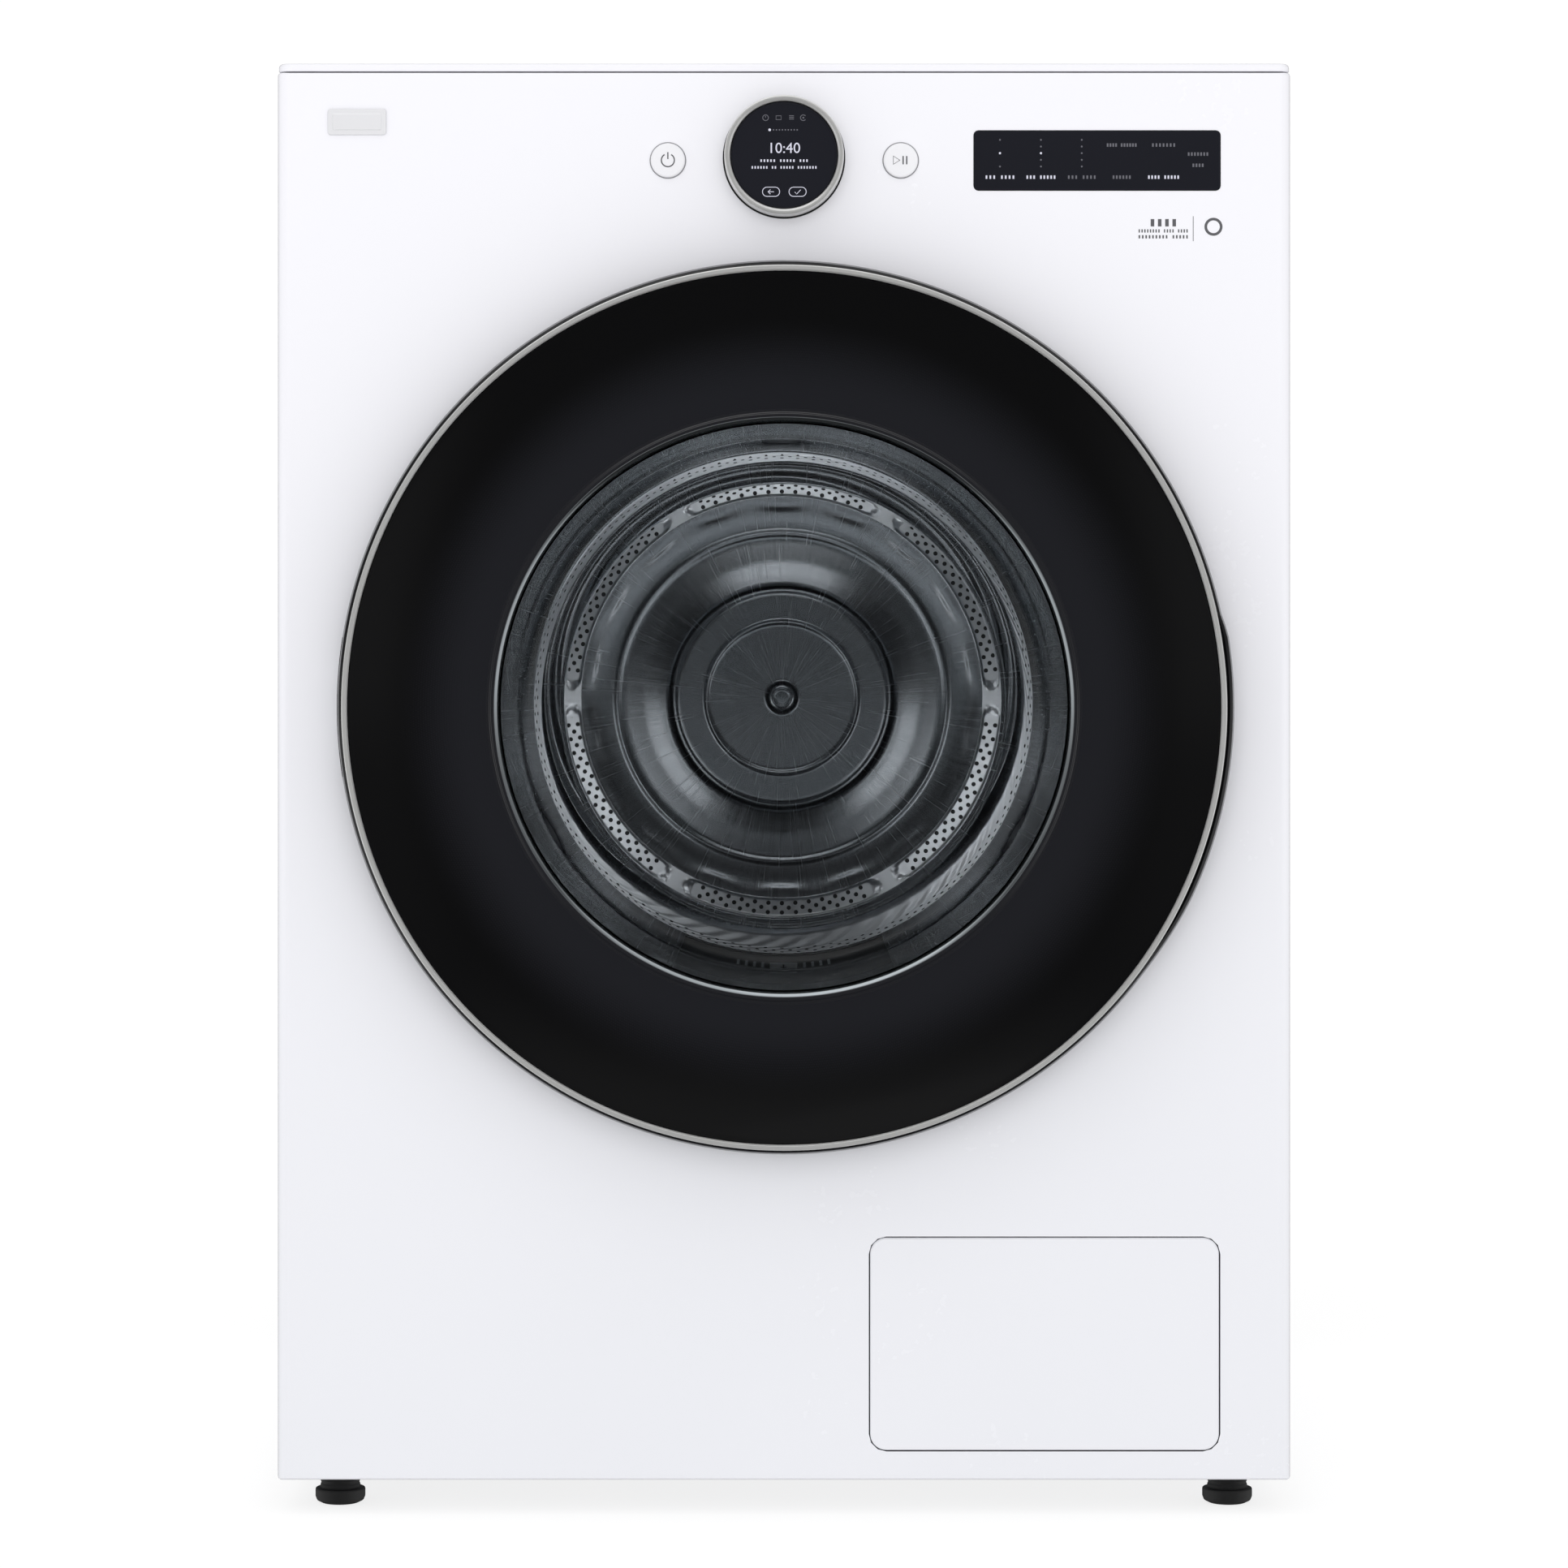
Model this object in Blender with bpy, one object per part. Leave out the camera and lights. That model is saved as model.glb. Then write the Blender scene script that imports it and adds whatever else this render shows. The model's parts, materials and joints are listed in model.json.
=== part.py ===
"""Front-loading heat-pump clothes dryer, as separate named pieces.

Metres, +Z up. The floor is z = 0, the front faces -Y, and the origin is the middle of the footprint.
"""

import math

import bmesh
import bpy
from mathutils import Vector

# Cabinet
WIDTH = 0.686
HALF_WIDTH = WIDTH / 2
HEIGHT = 0.983
FRONT_Y = -0.341
REAR_Y = 0.378
OUTER_REAR_Y = 0.386
PANEL_LOW = 0.024
PANEL_HIGH = 0.9770
SHEET = 0.0010
FOLD = 0.0077
GAP = 0.0004
PANEL_BACK = FRONT_Y + SHEET
FRONT_RETURN_Y = -0.321

# Door, turned about an axis through the middle of the drum
AXIS_Z = 0.5476
DOOR_AXIS = (0.0, AXIS_Z)
DOOR_FRONT_Y = -0.386
DOOR_BACK_Y = -0.3440
DOOR_RADIUS = 0.300
TRIM_OUTER = 0.2955
TRIM_INNER = 0.2916
DISH_OUTER = 0.2911
WINDOW_RADIUS = 0.1955
BOWL_END_RADIUS = 0.187
BOWL_END_Y = -0.243
DOOR_STEPS = 36
PANEL_OPENING = 0.222
HINGE_X = -0.292
HINGE_Y = -0.354

# Drum
DRUM_RADIUS = 0.318
DRUM_FRONT_Y = -0.2895
DRUM_BACK_Y = 0.299
DRUM_STEPS = 36
LIFTER_ANGLES = (90.0, 210.0, 330.0)
COLLAR_RADIUS = 0.214
BULKHEAD_Y = -0.2985
REAR_WALL_Y = 0.320
SHAFT_RADIUS = 0.0125
ROLLER_RADIUS = 0.035
ROLLER_X = 0.1767
ROLLER_Z = 0.2416

# Drive
MOTOR_AXIS = (0.150, 0.135)
IDLER_AXIS = (0.020, 0.165)
PULLEY_RADIUS = 0.0116
IDLER_RADIUS = 0.018
BELT_LOW_Y = 0.0605
BELT_HIGH_Y = 0.0715
BELT_THICKNESS = 0.0015
MOTOR_SHAFT_RADIUS = 0.006

# Controls
CONTROL_Z = 0.917
DIAL_Z = 0.919
DIAL_OUTER = 0.0403
DIAL_INNER = 0.0363
DIAL_FRONT_Y = -0.3615
POWER_X = -0.0785
START_X = 0.0789
BUTTON_RADIUS = 0.0117
LENS_X = 0.2117
LENS_WIDTH = 0.1665
LENS_HEIGHT = 0.0402
BADGE_X = -0.2887
BADGE_Z = 0.943

# Access hatch
HATCH_X = 0.1762
HATCH_Z = 0.1167
HATCH_WIDTH = 0.2377
HATCH_HEIGHT = 0.1454
HATCH_CORNER = 0.0118
HATCH_GAP = 0.0008
HATCH_PIVOT = (0.0585, -0.3405)

# Feet
FOOT_X = 0.305
FOOT_FRONT_Y = -0.285
FOOT_REAR_Y = 0.335
FOOT_PAD = 0.0171
FOOT_STEM = 0.0137

# Colours: name, (red, green, blue), roughness, metallic
WHITE_PAINT = ("white_paint", (0.83, 0.83, 0.85), 0.35, 0.0)
WHITE_PLASTIC = ("white_plastic", (0.80, 0.80, 0.82), 0.40, 0.0)
ZINC_SHEET = ("zinc_sheet", (0.62, 0.64, 0.66), 0.42, 0.9)
BLACK_GLOSS = ("black_gloss", (0.006, 0.006, 0.007), 0.08, 0.0)
BLACK_PLASTIC = ("black_plastic", (0.012, 0.012, 0.013), 0.5, 0.0)
GREY_PLASTIC = ("grey_plastic", (0.30, 0.31, 0.33), 0.5, 0.0)
SATIN_SILVER = ("satin_silver", (0.62, 0.63, 0.65), 0.28, 0.9)
SMOKED_GLASS = ("smoked_glass", (0.10, 0.11, 0.13), 0.05, 0.0)
STAINLESS = ("stainless", (0.60, 0.61, 0.63), 0.25, 1.0)
FELT = ("felt", (0.42, 0.41, 0.40), 0.95, 0.0)
RUBBER = ("rubber", (0.02, 0.02, 0.02), 0.7, 0.0)
GREEN_BOARD = ("green_board", (0.02, 0.14, 0.06), 0.5, 0.0)
ALUMINIUM = ("aluminium_fin", (0.70, 0.71, 0.72), 0.35, 0.9)
COPPER = ("copper", (0.72, 0.36, 0.20), 0.3, 1.0)
STEEL = ("steel", (0.45, 0.45, 0.46), 0.4, 1.0)


def clear_scene():
    for obj in list(bpy.data.objects):
        bpy.data.objects.remove(obj, do_unlink=True)


def surface(look):
    """The material of this look, made once."""
    name, colour, roughness, metallic = look
    material = bpy.data.materials.get(name)
    if material is None:
        material = bpy.data.materials.new(name)
        material.use_nodes = True
        shader = material.node_tree.nodes["Principled BSDF"]
        shader.inputs["Base Color"].default_value = (*colour, 1.0)
        shader.inputs["Roughness"].default_value = roughness
        shader.inputs["Metallic"].default_value = metallic
    return material


def new_object(name, points, faces, look, origin=(0.0, 0.0, 0.0), smooth_angle=35.0):
    """One closed mesh, stored about its own origin, with its faces turned outwards."""
    centre = Vector(origin)
    mesh = bpy.data.meshes.new(name)
    mesh.from_pydata([Vector(point) - centre for point in points], [], faces)
    work = bmesh.new()
    work.from_mesh(mesh)
    bmesh.ops.recalc_face_normals(work, faces=work.faces)
    work.to_mesh(mesh)
    work.free()
    mesh.shade_smooth()
    mesh.set_sharp_from_angle(angle=math.radians(smooth_angle))
    mesh.materials.append(surface(look))
    obj = bpy.data.objects.new(name, mesh)
    obj.location = centre
    bpy.context.scene.collection.objects.link(obj)
    return obj


def combine(obj, other, operation):
    """Cuts or adds the other object, which becomes a hidden helper."""
    other.hide_render = True
    other.display_type = "WIRE"
    modifier = obj.modifiers.new(f"{operation.lower()} {other.name}", "BOOLEAN")
    modifier.operation = operation
    modifier.solver = "EXACT"
    modifier.object = other


def cut(obj, *cutters):
    for cutter in cutters:
        combine(obj, cutter, "DIFFERENCE")


def add(obj, *pieces):
    for piece in pieces:
        combine(obj, piece, "UNION")


def loft(name, loops, look, **options):
    """Closed skin over loops of equally many points, with the first and last filled."""
    count = len(loops[0])
    points = [point for loop in loops for point in loop]
    faces = [list(range(count)), list(range((len(loops) - 1) * count, len(loops) * count))]
    for row in range(len(loops) - 1):
        for step in range(count):
            after = (step + 1) % count
            low = row * count
            high = low + count
            faces.append([low + step, low + after, high + after, high + step])
    return new_object(name, points, faces, look, **options)


def box(name, low, high, look, **options):
    outline = [(low[0], low[1]), (high[0], low[1]), (high[0], high[1]), (low[0], high[1])]
    loops = [[(x, y, z) for x, y in outline] for z in (low[2], high[2])]
    return loft(name, loops, look, **options)


def turned(name, profile, centre, look, steps, axis="Y", arc=None, **options):
    """Solid of revolution of a closed (radius, along) profile about an axis through the centre.

    The centre holds the two coordinates across the axis. An arc is a pair of angles in degrees, for a
    part turn with flat ends.
    """
    full = arc is None
    start, end = (0.0, 360.0) if full else arc
    rows = steps if full else steps + 1
    points = []
    rings = []
    for radius, along in profile:
        ring = []
        for row in range(rows if radius > 0 else 1):
            angle = math.radians(start + (end - start) * row / steps)
            across = (centre[0] + radius * math.cos(angle), centre[1] + radius * math.sin(angle))
            ring.append(len(points))
            points.append((across[0], along, across[1]) if axis == "Y" else (*across, along))
        rings.append(ring if radius > 0 else ring * rows)
    faces = []
    for first, second in zip(rings, rings[1:] + rings[:1]):
        for row in range(steps):
            after = (row + 1) % rows
            corners = [first[row], first[after], second[after], second[row]]
            corners = list(dict.fromkeys(corners))
            if len(corners) > 2:
                faces.append(corners)
    if not full:
        faces.append([ring[0] for ring in rings])
        faces.append([ring[-1] for ring in rings])
    return new_object(name, points, faces, look, **options)


def rounded_outline(half_width, half_height, radius, centre, steps=3):
    """Corner-rounded rectangle as (x, z) pairs."""
    corners = ((1, 1, 0), (-1, 1, 90), (-1, -1, 180), (1, -1, 270))
    outline = []
    for side, level, start in corners:
        for step in range(steps + 1):
            angle = math.radians(start + 90 * step / steps)
            x = centre[0] + side * (half_width - radius) + radius * math.cos(angle)
            z = centre[1] + level * (half_height - radius) + radius * math.sin(angle)
            outline.append((x, z))
    return outline


def plate(name, width, height, radius, centre, low, high, look, edge=0.0, **options):
    """Upright rounded plate between two depths, with an optional soft front edge."""
    levels = [(high, 0.0), (low + edge, 0.0)]
    if edge:
        levels += [(low + edge * 0.3, edge * 0.3), (low, edge)]
    loops = []
    for depth, inset in levels:
        outline = rounded_outline(width / 2 - inset, height / 2 - inset, max(radius - inset, 0.0004), centre)
        loops.append([(x, depth, z) for x, z in outline])
    return loft(name, loops, look, **options)


def rectangle_ring(name, profile, sides, centre, look, steps):
    """Ring about the Y axis whose points of radius None lie on a surrounding rectangle."""
    low_x, high_x, low_z, high_z = sides
    points = []
    for step in range(steps):
        angle = 2 * math.pi * (step + 0.5) / steps
        across, up = math.cos(angle), math.sin(angle)
        reach_x = (high_x - centre[0] if across > 0 else low_x - centre[0]) / across
        reach_z = (high_z - centre[1] if up > 0 else low_z - centre[1]) / up
        for radius, along in profile:
            reach = min(reach_x, reach_z) if radius is None else radius
            points.append((centre[0] + reach * across, along, centre[1] + reach * up))
    count = len(profile)
    faces = []
    for step in range(steps):
        here = step * count
        there = (step + 1) % steps * count
        for index in range(count):
            after = (index + 1) % count
            faces.append([here + index, there + index, there + after, here + after])
    return new_object(name, points, faces, look)


def tube(name, route, radius, look):
    """Round pipe along a smooth route, with closed ends."""
    curve = bpy.data.curves.new(name, "CURVE")
    curve.dimensions = "3D"
    curve.bevel_depth = radius
    curve.bevel_resolution = 2
    curve.use_fill_caps = True
    curve.resolution_u = 3
    spline = curve.splines.new("BEZIER")
    spline.bezier_points.add(len(route) - 1)
    for handle, place in zip(spline.bezier_points, route):
        handle.co = place
        handle.handle_left_type = "AUTO"
        handle.handle_right_type = "AUTO"
    curve.materials.append(surface(look))
    obj = bpy.data.objects.new(name, curve)
    bpy.context.scene.collection.objects.link(obj)
    return obj


# Cabinet


def panel_loop(inset, depth, wall):
    """One outline of the folded front: the fold is wide at the sides and tight above and below."""
    low = PANEL_LOW + inset * 0.35 + wall
    high = PANEL_HIGH - inset * 0.15 - wall
    outline = rounded_outline(HALF_WIDTH - inset - wall, (high - low) / 2, 0.002, (0.0, (low + high) / 2), 2)
    return [(x, depth, z) for x, z in outline]


def front_panel():
    outer = [panel_loop(0.0, FRONT_RETURN_Y, 0.0)]
    inner = [panel_loop(0.0, FRONT_RETURN_Y, SHEET)]
    for step in range(5):
        angle = math.radians(90 * step / 4)
        inset = FOLD * (1 - math.cos(angle))
        outer.append(panel_loop(inset, FRONT_Y + FOLD * (1 - math.sin(angle)), 0.0))
        inner_inset = (FOLD - SHEET) * (1 - math.cos(angle))
        inner.append(panel_loop(inner_inset, PANEL_BACK + (FOLD - SHEET) * (1 - math.sin(angle)), SHEET))
    panel = loft("front_panel", outer[::-1] + inner, WHITE_PAINT)
    low, high = FRONT_Y - 0.01, FRONT_Y + 0.01
    door_hole = [(0, low), (PANEL_OPENING, low), (PANEL_OPENING, high), (0, high)]
    dial_hole = [(0, low), (0.0265, low), (0.0265, high), (0, high)]
    button_hole = [(0, low), (BUTTON_RADIUS + 0.0005, low), (BUTTON_RADIUS + 0.0005, high), (0, high)]
    cut(
        panel,
        turned("door_hole_cutter", door_hole, DOOR_AXIS, WHITE_PAINT, DOOR_STEPS),
        turned("dial_hole_cutter", dial_hole, (0.0, DIAL_Z), WHITE_PAINT, 20),
        turned("power_hole_cutter", button_hole, (POWER_X, CONTROL_Z), WHITE_PAINT, 20),
        turned("start_hole_cutter", button_hole, (START_X, CONTROL_Z), WHITE_PAINT, 20),
        plate(
            "lens_hole_cutter", LENS_WIDTH + 2 * GAP, LENS_HEIGHT + 2 * GAP, 0.0034,
            (LENS_X, CONTROL_Z), low, high, WHITE_PAINT,
        ),
        plate(
            "hatch_hole_cutter", HATCH_WIDTH, HATCH_HEIGHT, HATCH_CORNER,
            (HATCH_X, HATCH_Z), low, high, WHITE_PAINT,
        ),
        box("latch_slot_cutter", (0.2535, low, AXIS_Z - 0.010), (0.2705, high, AXIS_Z + 0.010), WHITE_PAINT),
    )


def side_panel(name, side):
    """Flat side with a narrow flange turned in at the front and the back."""
    flange = 0.015
    front, rear = FRONT_RETURN_Y + 0.0005, REAR_Y - 0.0028
    outline = [
        (0.0, front), (flange, front), (flange, front + SHEET), (SHEET, front + SHEET),
        (SHEET, rear - SHEET), (flange, rear - SHEET), (flange, rear), (0.0, rear),
    ]
    loops = []
    for level in (PANEL_LOW + 0.0003, PANEL_HIGH):
        loops.append([(side * (HALF_WIDTH - across), along, level) for across, along in outline])
    loft(name, loops, WHITE_PAINT)


def top_cover():
    """Shallow lid with rounded edges, hollow underneath."""
    low, high, edge, wall = PANEL_HIGH + 0.0005, HEIGHT, 0.003, 0.0012
    half_depth = (REAR_Y - (FRONT_Y + 0.0015)) / 2
    middle = (REAR_Y + FRONT_Y + 0.0015) / 2

    def loop(inset, level):
        outline = rounded_outline(HALF_WIDTH - 0.0006 - inset, half_depth - inset, 0.0055, (0.0, middle), 3)
        return [(x, y, level) for x, y in outline]

    outer = [loop(0.0, low)]
    for step in range(4):
        angle = math.radians(90 * step / 3)
        outer.append(loop(edge * (1 - math.cos(angle)), high - edge * (1 - math.sin(angle))))
    inner = [loop(wall, low), loop(wall, high - edge), loop(wall + 0.002, high - wall)]
    loft("top_cover", outer[::-1] + inner, WHITE_PAINT)


def rear_panel():
    low_y = REAR_Y - 0.0010
    panel = box(
        "rear_panel", (-HALF_WIDTH, low_y, PANEL_LOW + 0.0003), (HALF_WIDTH, REAR_Y, PANEL_HIGH), ZINC_SHEET
    )
    for row in range(6):
        level = 0.075 + row * 0.016
        slot = plate(f"louvre_cutter_{row}", 0.14, 0.006, 0.0029, (0.16, level), 0.36, 0.40, ZINC_SHEET)
        cut(panel, slot)
    port_hole = [(0, 0.36), (0.0112, 0.36), (0.0112, 0.40), (0, 0.40)]
    cut(panel, turned("port_hole_cutter", port_hole, (-0.295, 0.110), ZINC_SHEET, 16))


def base_pan():
    half = HALF_WIDTH - 0.0018
    front, rear, low, high = -0.3190, 0.3735, PANEL_LOW + 0.0005, 0.060
    wall, floor = 0.003, 0.006

    def loop(inset, level):
        return [
            (-half + inset, front + inset, level), (half - inset, front + inset, level),
            (half - inset, rear - inset, level), (-half + inset, rear - inset, level),
        ]

    loops = [loop(0, low), loop(0, high), loop(wall, high), loop(wall, low + floor)]
    pan = loft("base_pan", loops, GREY_PLASTIC)
    hole = [(0, 0.0), (FOOT_STEM + 0.0005, 0.0), (FOOT_STEM + 0.0005, 0.08), (0, 0.08)]
    for name, place in feet_places().items():
        cut(pan, turned(f"{name}_hole_cutter", hole, place, GREY_PLASTIC, 14, axis="Z"))


def feet_places():
    return {
        "foot_front_left": (-FOOT_X, FOOT_FRONT_Y),
        "foot_front_right": (FOOT_X, FOOT_FRONT_Y),
        "foot_rear_left": (-FOOT_X, FOOT_REAR_Y),
        "foot_rear_right": (FOOT_X, FOOT_REAR_Y),
    }


def levelling_feet():
    profile = [
        (0, 0), (0.0125, 0), (0.0160, 0.0025), (FOOT_PAD, 0.006), (FOOT_PAD, 0.010),
        (FOOT_STEM, 0.0105), (FOOT_STEM, 0.052), (0, 0.052),
    ]
    for name, place in feet_places().items():
        turned(name, profile, place, RUBBER, 14, axis="Z", origin=(*place, 0.0))


def front_bulkhead():
    """Inner front wall with the collar of the drum opening and the two roller axles."""
    back = BULKHEAD_Y + 0.0015
    profile = [
        (COLLAR_RADIUS, -0.3365), (COLLAR_RADIUS + 0.0012, -0.3365), (COLLAR_RADIUS + 0.0012, BULKHEAD_Y),
        (None, BULKHEAD_Y), (None, back), (COLLAR_RADIUS, back),
    ]
    wall = rectangle_ring(
        "front_bulkhead", profile, (-0.339, 0.339, 0.206, 0.960), DOOR_AXIS, ZINC_SHEET, DOOR_STEPS
    )
    for name, side in (("left", -1), ("right", 1)):
        axle = [(0, BULKHEAD_Y + 0.001), (0.006, BULKHEAD_Y + 0.001), (0.006, -0.238), (0, -0.238)]
        add(wall, turned(f"{name}_axle_helper", axle, (side * ROLLER_X, ROLLER_Z), STEEL, 12))


def rear_bulkhead():
    hole, rear = 0.016, REAR_WALL_Y + 0.0012
    profile = [(hole, REAR_WALL_Y), (None, REAR_WALL_Y), (None, rear), (hole, rear)]
    rectangle_ring("rear_bulkhead", profile, (-0.339, 0.339, 0.215, 0.960), DOOR_AXIS, ZINC_SHEET, 24)


def rear_fittings():
    terminal = plate(
        "terminal_cover", 0.09, 0.08, 0.006, (-0.225, 0.195), REAR_Y + 0.0003, OUTER_REAR_Y, BLACK_PLASTIC
    )
    hollow = box("inlet_cutter", (-0.2350, 0.3810, 0.150), (-0.2150, 0.3845, 0.170), BLACK_PLASTIC)
    cut(terminal, hollow)
    port = [
        (0.006, 0.370), (0.0105, 0.370), (0.0105, REAR_Y + 0.0003), (0.016, REAR_Y + 0.0003),
        (0.016, 0.3800), (0.0095, 0.3805), (0.0095, OUTER_REAR_Y), (0.006, OUTER_REAR_Y),
    ]
    turned("drain_port", port, (-0.295, 0.110), GREY_PLASTIC, 16)
    cover = [(0, REAR_Y + 0.0003), (0.115, REAR_Y + 0.0003), (0.112, 0.3800), (0.070, 0.3815), (0, 0.3815)]
    turned("rear_cover", cover, DOOR_AXIS, ZINC_SHEET, 32)


# Controls


def dial():
    ring = [
        (DIAL_INNER, -0.3416), (DIAL_OUTER, -0.3416), (DIAL_OUTER, DIAL_FRONT_Y + 0.0015),
        (DIAL_OUTER - 0.0009, DIAL_FRONT_Y), (DIAL_INNER + 0.0009, DIAL_FRONT_Y),
        (DIAL_INNER, DIAL_FRONT_Y + 0.0013),
    ]
    turned("dial_ring", ring, (0.0, DIAL_Z), SATIN_SILVER, 40, origin=(0.0, -0.3500, DIAL_Z))
    disc = [
        (0, -0.3592), (0.0350, -0.3592), (DIAL_INNER - 0.0004, -0.3585), (DIAL_INNER - 0.0004, -0.3416),
        (0.026, -0.3416), (0.026, -0.333), (0, -0.333),
    ]
    turned("dial_display", disc, (0.0, DIAL_Z), BLACK_GLOSS, 40)


def push_button(name, x):
    cap = FRONT_Y - 0.0022
    flange = PANEL_BACK + 0.0004
    profile = [
        (0, cap), (BUTTON_RADIUS - 0.0009, cap), (BUTTON_RADIUS, cap + 0.0008), (BUTTON_RADIUS, flange),
        (BUTTON_RADIUS + 0.0013, flange), (BUTTON_RADIUS + 0.0013, flange + 0.001), (0.004, flange + 0.001),
        (0.004, -0.3330), (0, -0.3330),
    ]
    turned(name, profile, (x, CONTROL_Z), WHITE_PLASTIC, 20, origin=(x, cap, CONTROL_Z))


def control_block():
    """Tray behind the control strip, with the circuit board standing in it."""
    low, high, wall = PANEL_BACK + 0.0006, -0.310, 0.002
    centre, width, height = (0.1025, CONTROL_Z), 0.415, 0.066

    def loop(inset, depth):
        outline = rounded_outline(width / 2 - inset, height / 2 - inset, 0.003, centre, 1)
        return [(x, depth, z) for x, z in outline]

    loops = [loop(0, high), loop(0, low), loop(wall, low), loop(wall, high - wall)]
    loft("control_housing", loops, WHITE_PLASTIC)
    plate("control_board", width - 0.012, height - 0.012, 0.002, centre, -0.325, -0.3234, GREEN_BOARD)
    plate(
        "touch_lens", LENS_WIDTH, LENS_HEIGHT, 0.003, (LENS_X, CONTROL_Z),
        FRONT_Y - 0.0006, FRONT_Y + 0.0025, BLACK_GLOSS, edge=0.0005,
    )
    plate(
        "badge", 0.0395, 0.0175, 0.002, (BADGE_X, BADGE_Z), FRONT_Y - 0.0014, FRONT_Y - 0.0003, SATIN_SILVER,
        edge=0.0004,
    )


# Door


def hinge_clearance(name):
    """Round space about the hinge axis, where the cabinet's bracket stands inside the door."""
    return turned(name, upright_pin(0.0130, 0.046), (HINGE_X, HINGE_Y), BLACK_PLASTIC, 20, axis="Z")


def door_shell():
    origin = (HINGE_X, HINGE_Y, AXIS_Z)
    frame_profile = [
        (0.2968, -0.3465), (0.2985, -0.3465), (DOOR_RADIUS, -0.3480), (DOOR_RADIUS, -0.3665),
        (0.2985, -0.3722), (0.2962, -0.3745), (0.2960, -0.3712), (0.2900, -0.3712),
        (0.2900, -0.3692), (0.2968, -0.3692),
    ]
    frame = turned("door_frame", frame_profile, DOOR_AXIS, BLACK_GLOSS, DOOR_STEPS, origin=origin)
    cut(frame, hinge_clearance("frame_notch_cutter"))
    trim = [
        (TRIM_INNER, -0.3716), (TRIM_OUTER, -0.3716), (TRIM_OUTER, DOOR_FRONT_Y + 0.0010),
        (TRIM_OUTER - 0.0010, DOOR_FRONT_Y), (TRIM_INNER + 0.0010, DOOR_FRONT_Y),
        (TRIM_INNER, DOOR_FRONT_Y + 0.0010),
    ]
    turned("door_trim_ring", trim, DOOR_AXIS, SATIN_SILVER, DOOR_STEPS, origin=origin)
    back_profile = [
        (0.2012, -0.3465), (0.2955, -0.3465), (0.2962, -0.3458), (0.2962, DOOR_BACK_Y),
        (0.2065, DOOR_BACK_Y), (0.2055, -0.3120), (0.2012, -0.3120),
    ]
    back = turned("door_back_frame", back_profile, DOOR_AXIS, BLACK_PLASTIC, DOOR_STEPS, origin=origin)
    cut(back, hinge_clearance("back_notch_cutter"))


def dish_depth(radius):
    """Depth of the concave dish: flat beside the window and steepest at the rim."""
    share = (radius - WINDOW_RADIUS) / (DISH_OUTER - WINDOW_RADIUS)
    return -0.351 - 0.034 * share**2


def door_dish():
    wall = 0.0028
    radii = [0.2890, 0.2700, 0.2500, 0.2250, 0.2010]
    front = [(DISH_OUTER, -0.3845)] + [(radius, dish_depth(radius)) for radius in radii]
    lip = [(0.1985, -0.3530), (0.1962, -0.3526), (WINDOW_RADIUS, -0.3480)]
    back = [(radius, dish_depth(radius) + wall) for radius in radii[:0:-1]]
    skirt = [(0.2880, dish_depth(0.2880) + wall), (0.2880, -0.3716), (DISH_OUTER, -0.3716)]
    turned(
        "door_dish", front + lip + back + skirt, DOOR_AXIS, BLACK_GLOSS, DOOR_STEPS,
        origin=(HINGE_X, HINGE_Y, AXIS_Z),
    )


def door_bowl():
    """Thick glass bowl that reaches into the drum opening."""
    profile = [
        (0.2005, -0.3477), (0.2005, -0.3449), (WINDOW_RADIUS, -0.3449), (BOWL_END_RADIUS, -0.2620),
        (0.1800, -0.2525), (0.1620, -0.2475), (0.0900, -0.2440), (0, BOWL_END_Y),
        (0, BOWL_END_Y - 0.004), (0.0900, -0.2480), (0.1605, -0.2515), (0.1765, -0.2560),
        (0.1830, -0.2640), (0.1912, -0.3477),
    ]
    turned("door_bowl", profile, DOOR_AXIS, SMOKED_GLASS, DOOR_STEPS, origin=(HINGE_X, HINGE_Y, AXIS_Z))


def upright_pin(radius, half_height):
    """Profile of a pin on an upright axis, centred on the height of the door's centre."""
    low, high = AXIS_Z - half_height, AXIS_Z + half_height
    return [(0, low), (radius, low), (radius, high), (0, high)]


def door_hinge():
    """Cabinet bracket with its pin, and the door's arm with two lugs round the pin."""
    axis = (HINGE_X, HINGE_Y)
    bracket = box(
        "door_hinge_bracket", (-0.296, -0.3427, AXIS_Z - 0.042), (-0.262, FRONT_Y - 0.0003, AXIS_Z + 0.042),
        ZINC_SHEET,
    )
    ear = box(
        "ear_helper", (-0.2955, HINGE_Y, AXIS_Z - 0.028), (-0.2885, -0.3420, AXIS_Z + 0.028), ZINC_SHEET
    )
    add(
        bracket,
        ear,
        turned("knuckle_helper", upright_pin(0.0048, 0.0275), axis, ZINC_SHEET, 16, axis="Z"),
        turned("pin_helper", upright_pin(0.0025, 0.040), axis, ZINC_SHEET, 16, axis="Z"),
    )
    arm = box(
        "door_hinge_arm", (-0.2785, -0.3510, AXIS_Z - 0.044), (-0.240, -0.3470, AXIS_Z + 0.044), ZINC_SHEET,
        origin=(HINGE_X, HINGE_Y, AXIS_Z),
    )
    for name, side in (("lower", -1), ("upper", 1)):
        levels = sorted((AXIS_Z + side * 0.031, AXIS_Z + side * 0.037))
        near, far = (-0.297, -0.3590, levels[0]), (-0.276, -0.3473, levels[1])
        add(arm, box(f"{name}_lug_helper", near, far, ZINC_SHEET))
    bore = [(0, AXIS_Z - 0.05), (0.0030, AXIS_Z - 0.05), (0.0030, AXIS_Z + 0.05), (0, AXIS_Z + 0.05)]
    cut(arm, turned("lug_bore_cutter", bore, axis, ZINC_SHEET, 16, axis="Z"))


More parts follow.
